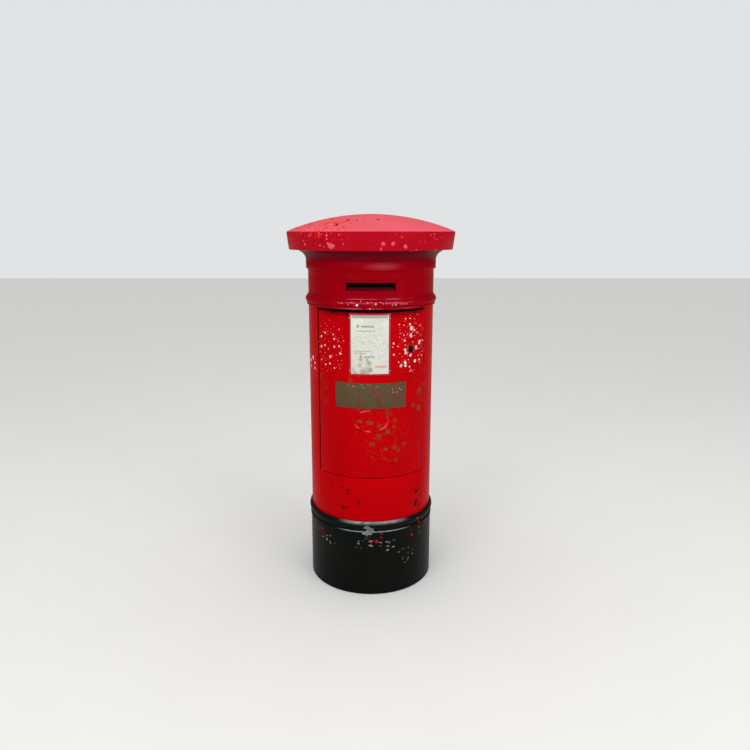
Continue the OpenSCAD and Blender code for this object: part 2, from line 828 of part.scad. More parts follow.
module keeper_screws() {
    color("#5b5d5e") keeper_screw_places() translate([0, 0, -keeper_t - head_seat])
        mirror([0, 0, 1]) screw(3.6, 1.4, keeper_screw_r, keeper_t + 7);
}

// ---------- chute and flap behind the slot ----------

module chute_screw_places() {
    for (side = [-1, 1], z = [z_slot + 22, z_slot + 52])
        outward(side * chute_screw_angle, z) translate([0, 0, bore_r]) children();
}

module slot_chute() {
    wall_y = sqrt(pow(bore_r - 3 * slack, 2) - pow(chute_half_w, 2));
    slope = chute_drop / (bore_r - chute_in);
    color("#6d7072") difference() {
        union() {
            intersection() {
                translate([-chute_half_w, 0, 0]) rotate([90, 0, 90])
                    linear_extrude(height = 2 * chute_half_w) polygon([
                        [-bore_r, z_chute], [-chute_in, z_chute - chute_drop],
                        [-chute_in, z_chute - chute_drop - 1.2 * chute_t],
                        [-bore_r, z_chute - 1.2 * chute_t]]);
                translate([0, 0, z_chute - 2 * chute_drop])
                    cylinder(r = bore_r - slack, h = 3 * chute_drop, $fn = round_fn);
            }
            for (side = [0, 1]) mirror([side, 0, 0]) {
                translate([chute_half_w - chute_t, 0, 0]) rotate([90, 0, 90])
                    linear_extrude(height = chute_t) polygon([
                        [-wall_y, z_chute - slope * (bore_r - wall_y) - chute_t],
                        [-wall_y, z_chute_top], [-flap_y + 26, z_chute_top],
                        [-chute_in, z_chute - chute_drop + chute_lip],
                        [-chute_in, z_chute - chute_drop - chute_t]]);
                sector(chute_angle - 0.6, chute_angle + chute_flange_angle)
                    ring(bore_r - slack - chute_t, bore_r - slack, z_slot + 12, z_chute_top);
            }
        }
        chute_screw_places()
            cylinder(r = chute_screw_r + run, h = 14, center = true, $fn = small_fn);
        translate([0, -flap_y, z_flap]) rotate([0, 90, 0])
            cylinder(r = flap_rod_r + fit, h = 3 * chute_half_w, center = true, $fn = small_fn);
    }
}

module chute_screws() {
    color("#5b5d5e") chute_screw_places() translate([0, 0, -slack - chute_t - head_seat])
        mirror([0, 0, 1]) screw(4.5, 2.5, chute_screw_r, chute_t + slack + 6);
}

module slot_flap() {
    color("#7c7f80") difference() {
        union() {
            translate([-flap_half_w, -flap_y - flap_t / 2, z_flap - flap_h])
                cube([2 * flap_half_w, flap_t, flap_h - 1]);
            translate([0, -flap_y, z_flap]) rotate([0, 90, 0])
                cylinder(r = flap_eye_r, h = 2 * flap_half_w, center = true, $fn = small_fn);
        }
        translate([0, -flap_y, z_flap]) rotate([0, 90, 0])
            cylinder(r = flap_rod_r + run, h = 3 * flap_half_w, center = true, $fn = small_fn);
    }
}

module flap_rod() {
    color("#8b8d8f") translate([0, -flap_y, z_flap]) rotate([0, 90, 0])
        cylinder(r = flap_rod_r, h = 2 * chute_half_w + 4, center = true, $fn = small_fn);
}

// ---------- letter guard ----------

module letter_guard() {
    pitch = 2 * guard_half_w / (guard_wires + 1);
    color("#8f9294") translate([0, -guard_y, 0]) {
        for (side = [-1, 1]) translate([side * guard_half_w, 0, z_guard_low - 8])
            cylinder(r = guard_rod_r, h = z_guard_high - z_guard_low + 16, $fn = small_fn);
        for (z = [z_guard_low, (z_guard_low + z_guard_high) / 2, z_guard_high])
            translate([0, 0, z]) rotate([0, 90, 0])
                cylinder(r = guard_cross_r, h = 2 * guard_half_w, center = true, $fn = small_fn);
        for (i = [1 : guard_wires])
            translate([i * pitch - guard_half_w, 0, z_guard_low])
                cylinder(r = guard_wire_r, h = z_guard_high - z_guard_low, $fn = small_fn);
    }
}

module guard_screw_places() {
    for (side = [-1, 1], z = bracket_levels)
        outward(side * bracket_screw_angle, z) translate([0, 0, bore_r]) children();
}

module guard_brackets() {
    foot_r = bore_r - slack;
    arm_end = sqrt(pow(foot_r - bracket_foot_t / 2, 2) - pow(guard_y, 2));
    color("#75787a") difference() {
        for (side = [0, 1], z = bracket_levels) mirror([side, 0, 0]) {
            translate([guard_half_w, -guard_y, z - bracket_h / 2])
                cylinder(r = bracket_eye_r, h = bracket_h, $fn = small_fn);
            translate([guard_half_w + guard_rod_r + 1, -guard_y - bracket_t / 2, z - bracket_h / 2])
                cube([arm_end - guard_half_w - guard_rod_r - 1, bracket_t, bracket_h]);
            sector(bracket_foot_from, bracket_foot_to)
                ring(foot_r - bracket_foot_t, foot_r, z - bracket_foot_h / 2, z + bracket_foot_h / 2);
        }
        for (side = [-1, 1]) translate([side * guard_half_w, -guard_y, z_guard_low])
            cylinder(r = guard_rod_r + run, h = z_guard_high - z_guard_low, $fn = small_fn);
        guard_screw_places() cylinder(r = guard_screw_r + run, h = 18, center = true, $fn = small_fn);
    }
}

module guard_screws() {
    color("#5b5d5e") guard_screw_places() translate([0, 0, -slack - bracket_foot_t - head_seat])
        mirror([0, 0, 1]) screw(5.5, 3.5, guard_screw_r, slack + bracket_foot_t + 8);
}

// ---------- floor ----------

module floor_screw_places() {
    for (turn = floor_turns)
        outward(turn, z_floor - floor_leg_t - floor_foot_h / 2) translate([0, 0, bore_r]) children();
}

module floor_plate() {
    color("#787b7c") difference() {
        translate([0, 0, z_floor]) cylinder(r = floor_r, h = floor_t, $fn = round_fn);
        for (i = [0 : floor_slots - 1])
            translate([(i - (floor_slots - 1) / 2) * floor_slot_pitch - floor_slot_w / 2,
                       -floor_slot_l / 2, z_floor - eps])
                cube([floor_slot_w, floor_slot_l, floor_t + 2 * eps]);
        for (turn = floor_turns)
            post(floor_screw_at, turn, floor_screw_r + run, z_floor - eps, z_floor + floor_t + eps);
    }
}

module floor_brackets() {
    foot_r = bore_r - slack;
    color("#66696b") difference() {
        for (turn = floor_turns) sector(turn - floor_foot_angle, turn + floor_foot_angle)
            polygon([[floor_leg_r, z_floor - floor_leg_t], [floor_leg_r, z_floor],
                [foot_r, z_floor], [foot_r, z_floor - floor_leg_t - floor_foot_h],
                [foot_r - floor_bracket_t, z_floor - floor_leg_t - floor_foot_h],
                [foot_r - floor_bracket_t, z_floor - floor_leg_t]]);
        floor_screw_places() cylinder(r = floor_screw_r + run, h = 18, center = true, $fn = small_fn);
        for (turn = floor_turns)
            post(floor_screw_at, turn, floor_screw_r + run, z_floor - floor_leg_t - eps, z_floor + eps);
    }
}

module floor_bracket_screws() {
    color("#5b5d5e") floor_screw_places() translate([0, 0, -slack - floor_bracket_t - head_seat])
        mirror([0, 0, 1]) screw(6, 3.5, floor_screw_r, slack + floor_bracket_t + 8);
}

module floor_plate_screws() {
    color("#5b5d5e") for (turn = floor_turns) rotate([0, 0, turn])
        translate([0, -floor_screw_at, z_floor + floor_t]) screw(6, 2.5, floor_screw_r, floor_t + 10);
}

base();
column();
cap();
base_bolts();
base_nuts();
cap_bolts();
door();
hinge_pin_top();
hinge_pin_bottom();
hinge_bush();
hinge_washer();
notice_plate();
notice_frame();
notice_screws();
blank_plate();
blank_plate_rivets();
escutcheon();
keyhole_cover();
keyhole_cover_rivet();
lock_case();
lock_cover();
lock_screws();
lock_bolt();
lock_barrel();
lock_levers();
lock_keeper();
keeper_screws();
slot_chute();
chute_screws();
slot_flap();
flap_rod();
letter_guard();
guard_brackets();
guard_screws();
floor_plate();
floor_brackets();
floor_bracket_screws();
floor_plate_screws();
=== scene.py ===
import json
import math
import bmesh
import bpy
from mathutils import Matrix, Vector


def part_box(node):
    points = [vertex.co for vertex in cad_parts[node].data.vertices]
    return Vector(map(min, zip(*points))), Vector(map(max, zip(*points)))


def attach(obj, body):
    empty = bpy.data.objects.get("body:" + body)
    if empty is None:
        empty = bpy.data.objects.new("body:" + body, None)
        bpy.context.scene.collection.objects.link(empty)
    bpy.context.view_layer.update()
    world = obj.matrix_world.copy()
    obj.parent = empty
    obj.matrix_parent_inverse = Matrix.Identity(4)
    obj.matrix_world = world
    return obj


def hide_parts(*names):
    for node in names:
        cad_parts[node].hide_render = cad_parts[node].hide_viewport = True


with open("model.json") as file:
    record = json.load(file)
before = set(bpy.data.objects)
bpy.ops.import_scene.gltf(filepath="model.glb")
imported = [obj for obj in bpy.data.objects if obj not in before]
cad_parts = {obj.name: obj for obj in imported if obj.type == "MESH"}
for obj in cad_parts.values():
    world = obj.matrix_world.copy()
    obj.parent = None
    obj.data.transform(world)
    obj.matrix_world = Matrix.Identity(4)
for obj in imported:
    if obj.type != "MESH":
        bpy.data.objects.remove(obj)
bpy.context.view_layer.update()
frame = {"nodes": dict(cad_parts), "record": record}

mm = 0.001

# the column that every casting is drawn round

column = {
    "radius": 265, "wall": 16,
    "sillHeight": 522, "headHeight": 1216, "collarHeight": 1219, "neckHeight": 1261,
    "corniceHeight": 1365, "corniceOut": 8, "flangeBore": 222, "flangeThickness": 16,
    "hingeJamb": -54.95, "lockJamb": 54.65,     # degrees from the front, + is to the right
    "slotHalfAngle": 21.62, "slotLow": 1283.5, "slotHigh": 1321.5, "slotRise": 18.5,
    "marginAngle": 1.3, "marginHeight": 6, "marginOut": 2.5,
    "lipAngle": 1, "lipLow": 1325.5, "lipHeight": 6, "lipOut": 6,
    "stepDegrees": 1.5, "edgeRounding": 1.1,
}
radius = column["radius"]
bore = radius - column["wall"]
columnLow, columnHigh = (corner.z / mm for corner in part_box("column"))


# working with meshes

def deselectAll():
    bpy.ops.object.select_all(action="DESELECT")


def selectOnly(piece):
    deselectAll()
    piece.select_set(True)
    bpy.context.view_layer.objects.active = piece


def editMode():
    bpy.ops.object.mode_set(mode="EDIT")
    bpy.ops.mesh.select_all(action="SELECT")


def objectMode():
    bpy.ops.object.mode_set(mode="OBJECT")


def startPiece(name, scale=None):
    # names the newest object and moves its place, turn and scale into its mesh
    piece = bpy.context.object
    piece.name = name
    piece.data.name = name
    if scale:
        piece.scale = scale
    bpy.ops.object.transform_apply()
    return piece


def addCylinder(vertices, size, depth, at, turned=(0, 0, 0)):
    deselectAll()
    bpy.ops.mesh.primitive_cylinder_add(vertices=vertices, radius=size * mm, depth=depth * mm, location=at,
                                        rotation=turned)


def turnOf(point):
    return math.degrees(math.atan2(point.x, -point.y))


def atTurn(turn, distance, height):
    angle = math.radians(turn)
    return Vector((distance * math.sin(angle), -distance * math.cos(angle), height)) * mm


def pickFaces(piece, wanted):
    # wanted gets a face's turn, its distance from the axis and its height, in degrees and mm
    bpy.ops.mesh.select_mode(type="FACE")
    bpy.ops.mesh.select_all(action="DESELECT")
    mesh = bmesh.from_edit_mesh(piece.data)
    for face in mesh.faces:
        centre = face.calc_center_median()
        if wanted(turnOf(centre), math.hypot(centre.x, centre.y) / mm, centre.z / mm):
            face.select_set(True)
    mesh.select_flush_mode()
    bmesh.update_edit_mesh(piece.data)


def pickEdgesAlong(piece, axis):
    # axis is 0, 1 or 2, for X, Y or Z
    bpy.ops.mesh.select_mode(type="EDGE")
    bpy.ops.mesh.select_all(action="DESELECT")
    mesh = bmesh.from_edit_mesh(piece.data)
    for edge in mesh.edges:
        span = edge.verts[1].co - edge.verts[0].co
        if abs(span[axis]) > 0.99 * span.length:
            edge.select_set(True)
    bmesh.update_edit_mesh(piece.data)


def closeAndFaceOut():
    bpy.ops.mesh.select_mode(type="VERT")
    bpy.ops.mesh.select_all(action="SELECT")
    bpy.ops.mesh.remove_doubles(threshold=0.01 * mm)
    bpy.ops.mesh.delete_loose()
    bpy.ops.mesh.select_all(action="SELECT")
    bpy.ops.mesh.normals_make_consistent(inside=False)


def spinOutline(name, outline, turns):
    # outline is a closed loop of (distance from the axis, height); turns are where edges must lie
    deselectAll()
    bpy.ops.mesh.primitive_circle_add(vertices=len(outline), radius=mm)
    piece = startPiece(name)
    for vertex, (distance, height) in zip(piece.data.vertices, outline):
        vertex.co = atTurn(turns[0], distance, height)
    editMode()
    if turns[-1] - turns[0] < 360:
        bpy.ops.mesh.edge_face_add()
    for begin, end in zip(turns, turns[1:]):
        steps = max(1, round((end - begin) / column["stepDegrees"]))
        bpy.ops.mesh.spin(steps=steps, angle=-math.radians(end - begin), center=(0, 0, 0), axis=(0, 0, 1))
    closeAndFaceOut()
    return piece


def pushOut(distance):
    bpy.ops.mesh.extrude_region_shrink_fatten(TRANSFORM_OT_shrink_fatten={"value": distance * mm})


def applyModifier(piece, kind, **settings):
    selectOnly(piece)
    bpy.ops.object.modifier_add(type=kind)
    modifier = piece.modifiers[-1]
    for setting, value in settings.items():
        setattr(modifier, setting, value)
    bpy.ops.object.modifier_apply(modifier=modifier.name)


def combine(piece, operation):
    # boolean with the newest object, which is then thrown away
    tool = bpy.context.object
    applyModifier(piece, "BOOLEAN", operation=operation, object=tool, solver="EXACT")
    bpy.data.objects.remove(tool)


def roundEdges(piece, width, sharp=32):
    objectMode()
    applyModifier(piece, "BEVEL", width=width * mm, segments=2, limit_method="ANGLE",
                  angle_limit=math.radians(sharp), miter_outer="MITER_ARC")
    selectOnly(piece)
    bpy.ops.object.shade_smooth_by_angle(angle=math.radians(sharp))


def joinPieces(main, others):
    deselectAll()
    for other in others:
        other.select_set(True)
    main.select_set(True)
    bpy.context.view_layer.objects.active = main
    bpy.ops.object.join()


def wrapRound(piece, turn=0):
    # bends a flat piece, drawn with X across, Z up and -Y outwards, on to the column
    objectMode()
    for vertex in piece.data.vertices:
        distance = radius * mm - vertex.co.y
        angle = math.radians(turn) + vertex.co.x / (radius * mm)
        vertex.co = Vector((distance * math.sin(angle), -distance * math.cos(angle), vertex.co.z))


def cutAcross(piece, cuts):
    # extra edges across a flat piece, so that it bends smoothly
    pickEdgesAlong(piece, 0)
    bpy.ops.mesh.subdivide(number_cuts=cuts)


def place(piece, body, slotName, *nodes, material=None):
    piece.data.materials.clear()
    piece.data.materials.append(material or finishes[slotName])
    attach(piece, body)
    if nodes:
        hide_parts(*nodes)
    return piece


# working with materials

def colour(code):
    # sRGB hex to linear
    values = [int(code[i:i + 2], 16) / 255 for i in (1, 3, 5)]
    return [v / 12.92 if v <= 0.04045 else ((v + 0.055) / 1.055) ** 2.4 for v in values] + [1]


def setInput(node, name, value):
    # value is a number, a colour, its hex code, a socket, or a node that gives its first output in use
    if isinstance(value, bpy.types.Node):
        value = next(output for output in value.outputs if output.enabled)
    if isinstance(value, bpy.types.NodeSocket):
        node.id_data.links.new(value, node.inputs[name])
    else:
        node.inputs[name].default_value = colour(value) if isinstance(value, str) else value


def addNode(tree, kind, inputs=None, **settings):
    node = tree.nodes.new("ShaderNode" + kind)
    for name, value in settings.items():
        setattr(node, name, value)
    for name, value in (inputs or {}).items():
        setInput(node, name, value)
    return node


def startMaterial(name, roughness, specular=0.5, metallic=0.0):
    material = bpy.data.materials.new(name)
    material.use_nodes = True
    tree = material.node_tree
    shader = tree.nodes["Principled BSDF"]
    setInput(shader, "Metallic", metallic)
    setInput(shader, "Roughness", roughness)
    setInput(shader, "Specular IOR Level", specular)
    return material, tree, shader, addNode(tree, "TexCoord").outputs["Object"]


def perMetre(size):
    # a texture scale that gives features of that size in mm
    return 1000 / size


print("tools ready")


# cast iron, painted

def bulge(distance, low, high, out, steps=14):
    # half-round moulding
    points = []
    for i in range(steps + 1):
        u = math.pi * i / steps
        points.append((distance + out * math.sin(u), (low + high) / 2 - (high - low) / 2 * math.cos(u)))
    return points


# the moulding below the neck: how far its parts stand out, and their heights
collarMoulding = {"step": 7, "stepHeight": 8, "beadRoot": 3, "bead": 9.5, "beadBelowTop": 6, "fillet": 5,
                  "filletBelowTop": 2, "taper": 2}


def columnOutline():
    collar, neck, cornice = column["collarHeight"], column["neckHeight"], column["corniceHeight"]
    thick = column["flangeThickness"]
    corniceRadius = radius + column["corniceOut"]
    m = collarMoulding
    beadLow, beadHigh = collar + m["stepHeight"], neck - m["beadBelowTop"]
    outside = [
        (radius, columnLow), (radius, column["sillHeight"]), (radius, column["headHeight"]),
        (radius, collar), (radius + m["step"], collar), (radius + m["step"], beadLow),
        *bulge(radius + m["beadRoot"], beadLow, beadHigh, m["bead"]),
        (radius + m["fillet"], beadHigh), (radius + m["fillet"], neck - m["filletBelowTop"]),
        (radius + m["taper"], neck), (radius, neck),
        (radius, column["slotLow"] - column["marginHeight"]), (radius, column["slotLow"]),
        (radius, column["slotHigh"]), (radius, column["lipLow"]),
        (radius, column["lipLow"] + column["lipHeight"]), (radius, cornice),
        (corniceRadius - 3, cornice), (corniceRadius, cornice + 4), (corniceRadius, columnHigh)]
    inside = [
        (column["flangeBore"], columnHigh), (column["flangeBore"], columnHigh - thick),
        (bore, columnHigh - thick), (bore, column["slotHigh"]),
        (bore, column["slotLow"] + column["slotRise"]), (bore, column["headHeight"]),
        (bore, column["sillHeight"]), (bore, columnLow + thick),
        (column["flangeBore"], columnLow + thick), (column["flangeBore"], columnLow)]
    return outside + inside


def bridgeHole(piece, outer, inner):
    # opens the wall where outer and inner say, and closes its cut edge
    pickFaces(piece, lambda *at: outer(*at) or inner(*at))
    bpy.ops.mesh.delete(type="FACE")
    bpy.ops.mesh.select_mode(type="EDGE")
    bpy.ops.mesh.select_all(action="DESELECT")
    bpy.ops.mesh.select_non_manifold()
    bpy.ops.mesh.bridge_edge_loops()


def buildColumn():
    slot = column["slotHalfAngle"]
    margin = slot + column["marginAngle"]
    lip = margin + column["lipAngle"]
    turns = [column["hingeJamb"], -lip, -margin, -slot, slot, margin, lip, column["lockJamb"],
             column["hingeJamb"] + 360]
    piece = spinOutline("column_casting", columnOutline(), turns)
    low, high = column["slotLow"], column["slotHigh"]
    marginLow, lipLow = low - column["marginHeight"], column["lipLow"]

    # raised margin and rain lip round the posting slot
    pickFaces(piece, lambda turn, distance, height:
              abs(turn) < margin and distance > radius - 2 and marginLow < height < lipLow)
    pushOut(column["marginOut"])
    pickFaces(piece, lambda turn, distance, height:
              abs(turn) < lip and distance > radius - 2 and lipLow < height < lipLow + column["lipHeight"])
    pushOut(column["lipOut"])

    bridgeHole(piece,
               lambda turn, distance, height: abs(turn) < slot and distance > radius and low < height < high,
               lambda turn, distance, height: abs(turn) < slot and distance < bore + 1
               and low + column["slotRise"] < height < high)

    def inDoorway(turn, distance, height):
        return (column["hingeJamb"] < turn < column["lockJamb"]
                and column["sillHeight"] < height < column["headHeight"])
    bridgeHole(piece, inDoorway, inDoorway)
    roundEdges(piece, column["edgeRounding"])
    joinPieces(piece, [buildDoorStop()])
    return piece


doorStop = {"depth": 14, "sideAngle": 3.5, "below": 14, "above": 12, "hingeLap": 1.73, "lockLap": 2.6,
            "lap": 12, "doorGap": 3, "headGap": 10}


def buildDoorStop():
    # ledge all round the doorway, inside the wall
    outerLow = column["sillHeight"] - doorStop["below"]
    outerHigh = column["headHeight"] + doorStop["above"]
    innerLow = column["sillHeight"] + doorStop["doorGap"] + doorStop["lap"]
    innerHigh = column["headHeight"] - doorStop["headGap"] - doorStop["lap"]
    left, right = door["hingeTurn"] + doorStop["hingeLap"], door["lockTurn"] - doorStop["lockLap"]
    turns = [column["hingeJamb"] - doorStop["sideAngle"], left, right, column["lockJamb"] + doorStop["sideAngle"]]
    outline = []
    for distance, heights in ((bore + 1, (outerLow, innerLow, innerHigh, outerHigh)),
                              (bore - doorStop["depth"], (outerHigh, innerHigh, innerLow, outerLow))):
        outline += [(distance, height) for height in heights]
    piece = spinOutline("door_stop", outline, turns)

    def inWindow(turn, distance, height):
        return left < turn < right and innerLow < height < innerHigh
    bridgeHole(piece, inWindow, inWindow)
    roundEdges(piece, 1.2)
    return piece


base = {"out": 5, "foot": 18, "footBore": 200, "wall": 14, "beadHeight": 30, "beadRootOut": 3, "beadOut": 8,
        "ringHeight": 13, "ringOut": 7.5, "grooveHeight": 12, "holeCircle": 454, "holeRadius": 11,
        "edgeRounding": 1.2}


def buildBase():
    top = columnLow
    ringTop = top - base["beadHeight"] - base["grooveHeight"]
    outer = radius + base["out"]
    ring, root = radius + base["ringOut"], radius + base["beadRootOut"]
    thick = column["flangeThickness"]
    outline = [
        (base["footBore"], 0), (outer - 3, 0), (outer, 3),
        (outer, ringTop - base["ringHeight"]), (ring, ringTop - base["ringHeight"] + 2),
        (ring, ringTop - 2), (root, ringTop),
        *bulge(root, top - base["beadHeight"], top, base["beadOut"]),
        (column["flangeBore"], top), (column["flangeBore"], top - thick),
        (outer - base["wall"], top - thick), (outer - base["wall"], base["foot"]),
        (base["footBore"], base["foot"])]
    piece = spinOutline("base_casting", outline, [0, 360])
    objectMode()
    for i in range(4):      # anchor holes in the foot flange
        addCylinder(32, base["holeRadius"], 4 * base["foot"], atTurn(45 + 90 * i, base["holeCircle"] / 2, 0))
        combine(piece, "DIFFERENCE")
    roundEdges(piece, base["edgeRounding"])
    return piece


cap = {"radius": 351, "foot": 342, "seat": 273, "seatWidth": 14, "coveHeight": 42, "drip": 6, "dripHeight": 3,
       "fascia": 73, "rimRound": 4, "dome": 70, "wall": 12, "bossRadius": 16, "bossHeight": 24,
       "bossInset": 13}


def domeHeight(distance, top):
    sphere = (cap["radius"] ** 2 + cap["dome"] ** 2) / (2 * cap["dome"])
    return top - sphere + math.sqrt(sphere ** 2 - distance ** 2)


def buildCap():
    low, top = (corner.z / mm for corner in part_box("cap"))
    fasciaLow = low + cap["coveHeight"]
    rim = fasciaLow + cap["fascia"]
    coveRadius = cap["foot"] - cap["drip"] - cap["seat"]
    seatIn = cap["seat"] - cap["seatWidth"]
    insideFoot = cap["foot"] - cap["wall"]
    outline = []
    for i in range(13):     # cove under the rim
        u = math.radians(90 * i / 12)
        outline.append((cap["seat"] + coveRadius * (1 - math.cos(u)),
                        low + (cap["coveHeight"] + cap["dripHeight"]) * math.sin(u)))
    outline += [(cap["foot"] - cap["drip"] + 1.5, fasciaLow), (cap["foot"], fasciaLow)]
    corner = cap["rimRound"]
    rimAngle = math.asin(cap["radius"] / ((cap["radius"] ** 2 + cap["dome"] ** 2) / (2 * cap["dome"])))
    centre = (cap["radius"] - corner, rim - corner)
    for i in range(7):      # rounded rim
        u = (math.pi / 2 - rimAngle) * i / 6
        outline.append((centre[0] + corner * math.cos(u), centre[1] + corner * math.sin(u)))
    for i in range(1, 31):
        distance = centre[0] * (1 - i / 30)
        outline.append((distance, domeHeight(distance, top)))
    for i in range(21):
        distance = (cap["radius"] - cap["wall"] - corner) * i / 20
        outline.append((distance, domeHeight(distance, top) - cap["wall"]))
    outline.append((insideFoot, fasciaLow + cap["dripHeight"] + cap["wall"] + 4))
    for i in range(13):
        u = math.radians(90 - 90 * i / 12)
        outline.append((seatIn + (insideFoot - 6 - seatIn) * (1 - math.cos(u)),
                        low + cap["wall"] + (cap["coveHeight"] + cap["dripHeight"]) * math.sin(u)))
    outline.append((seatIn, low))
    piece = spinOutline("cap_casting", outline, [0, 360])
    roundEdges(piece, 0.8)
    bosses = []
    for i in range(4):      # bosses that take the bolts from the column's flange
        addCylinder(32, cap["bossRadius"], cap["bossHeight"],
                    atTurn(45 + 90 * i, bore - cap["bossInset"], low + cap["bossHeight"] / 2))
        bosses.append(startPiece("cap_boss"))
        roundEdges(bosses[-1], 1.5)
    joinPieces(piece, bosses)
    return piece


# door

door = {"hingeTurn": -52.5, "lockTurn": 54, "noseRadius": 7.6, "recess": 2, "ribHeight": 8, "ribWidth": 10,
        "ribEdge": 5, "bossRadius": 28, "bossOut": 3.5, "bossTurn": 36, "keyHole": 10, "keyDrop": 161, "ribDrop": 90,
        "edgeRounding": 1.3}
doorLow, doorHigh = (corner.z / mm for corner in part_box("door"))
keyHeight = column["collarHeight"] - door["keyDrop"]
notice = {"width": 156, "height": 238, "thickness": 1.5, "turn": -1, "belowTop": 8, "frameWidth": 5,
          "frameOut": 1.3, "frameLap": 1.5, "clearance": 0.3, "screwInset": 14}
noticeLow = doorHigh - notice["belowTop"] - notice["height"]
noticeHigh = noticeLow + notice["height"]
oval = {"width": 150, "height": 96, "band": 8, "out": 3, "middle": 768}


def degreesAcross(width):
    return math.degrees(width / radius)


def buildDoor():
    grow = notice["frameWidth"] + notice["clearance"]
    halfNotice = degreesAcross(notice["width"] / 2 + grow)
    left, right = notice["turn"] - halfNotice, notice["turn"] + halfNotice
    recessLow, recessHigh = noticeLow - grow, noticeHigh + grow
    outline = [(radius, doorLow), (radius, recessLow), (radius, recessHigh), (radius, doorHigh),
               (bore, doorHigh), (bore, doorLow)]
    piece = spinOutline("door_casting", outline, [door["hingeTurn"], left, right, door["lockTurn"]])
    pickFaces(piece, lambda turn, distance, height:
              left < turn < right and distance > radius - 2 and recessLow < height < recessHigh)
    pushOut(-door["recess"])
    objectMode()

    # keyhole boss, merged with the wall, and its hole
    facing = Matrix.Rotation(math.radians(door["bossTurn"]), 4, "Z") @ Matrix.Rotation(math.radians(90), 4, "X")
    for operation, size, span in (("UNION", door["bossRadius"], (bore + 2, radius + door["bossOut"])),
                                  ("DIFFERENCE", door["keyHole"], (bore - 20, radius + 30))):
        addCylinder(64, size, span[1] - span[0], atTurn(door["bossTurn"], sum(span) / 2, keyHeight),
                    facing.to_euler())
        combine(piece, operation)
    roundEdges(piece, door["edgeRounding"])
    joinPieces(piece, [buildNose(), buildOval(), *buildRibs()])
    return piece


def buildNose():
    # round hinge edge of the door
    addCylinder(48, door["noseRadius"], doorHigh - doorLow,
                atTurn(door["hingeTurn"], radius - column["wall"] / 2, (doorLow + doorHigh) / 2))
    nose = startPiece("door_nose")
    roundEdges(nose, door["edgeRounding"])
    return nose


def buildOval():
    # plain raised oval: a ring drawn flat, then laid on the door
    deselectAll()
    bpy.ops.mesh.primitive_torus_add(major_segments=96, minor_segments=16, major_radius=oval["height"] / 2 * mm,
                                     minor_radius=oval["band"] / 2 * mm, rotation=(math.pi / 2, 0, 0))
    ring = startPiece("door_oval")
    stretch = (oval["width"] - oval["band"]) / oval["height"]
    for vertex in ring.data.vertices:
        vertex.co.x *= stretch
        vertex.co.y *= oval["out"] / (oval["band"] / 2)
        vertex.co.z = vertex.co.z * (oval["height"] - oval["band"]) / oval["height"] + oval["middle"] * mm
    wrapRound(ring)
    selectOnly(ring)
    bpy.ops.object.shade_smooth()
    return ring


def buildRibs():
    # stiffening ribs inside
    lap = doorStop["lap"] + door["ribEdge"]
    left = door["hingeTurn"] + degreesAcross(lap)
    right = door["lockTurn"] - degreesAcross(lap)
    low, high = doorLow + lap, doorHigh - lap - door["ribWidth"]
    width = degreesAcross(door["ribWidth"])
    inner = bore - door["ribHeight"]
    ribs = []
    for height in (low, (low + high) / 2 - door["ribDrop"], high):
        outline = [(bore + 1, height), (bore + 1, height + door["ribWidth"]),
                   (inner, height + door["ribWidth"]), (inner, height)]
        ribs.append(spinOutline("door_rib", outline, [left, right]))
        roundEdges(ribs[-1], 1.5)
    for turn in (left, right - width):
        outline = [(bore + 1, low), (bore + 1, high + 1), (inner, high + 1), (inner, low)]
        ribs.append(spinOutline("door_rib", outline, [turn, turn + width]))
        roundEdges(ribs[-1], 1.5)
    return ribs


# plates on the door

def flatPlate(name, width, height, thickness, low, out, corner):
    deselectAll()
    bpy.ops.mesh.primitive_cube_add(size=1, location=(0, -(out + thickness / 2) * mm, (low + height / 2) * mm),
                                    scale=(width * mm, thickness * mm, height * mm))
    plate = startPiece(name)
    editMode()
    if corner:
        pickEdgesAlong(plate, 1)
        bpy.ops.mesh.bevel(offset=corner * mm, segments=4)
    return plate


def buildNoticePlate():
    plate = flatPlate("notice_enamel", notice["width"], notice["height"], notice["thickness"], noticeLow,
                      notice["clearance"] / 2 - door["recess"], 0)
    cutAcross(plate, 23)
    wrapRound(plate, notice["turn"])
    return plate


def buildNoticeFrame():
    edge = notice["frameWidth"]
    width, height = notice["width"] + 2 * edge, notice["height"] + 2 * edge
    out = notice["clearance"] / 2 - door["recess"]
    deselectAll()
    bpy.ops.mesh.primitive_plane_add(size=1, location=(0, -out * mm, (noticeLow + notice["height"] / 2) * mm),
                                     rotation=(math.pi / 2, 0, 0))
    rim = startPiece("notice_rim", (width * mm, height * mm, 1))
    editMode()
    bpy.ops.mesh.inset(thickness=(edge + notice["frameLap"]) * mm)
    bpy.ops.mesh.delete(type="FACE")
    bpy.ops.mesh.select_all(action="SELECT")
    depth = notice["frameOut"] - out
    bpy.ops.mesh.extrude_region_move(TRANSFORM_OT_translate={"value": (0, -depth * mm, 0)})
    cutAcross(rim, 23)
    closeAndFaceOut()
    roundEdges(rim, 0.7)
    wrapRound(rim, notice["turn"])
    return rim


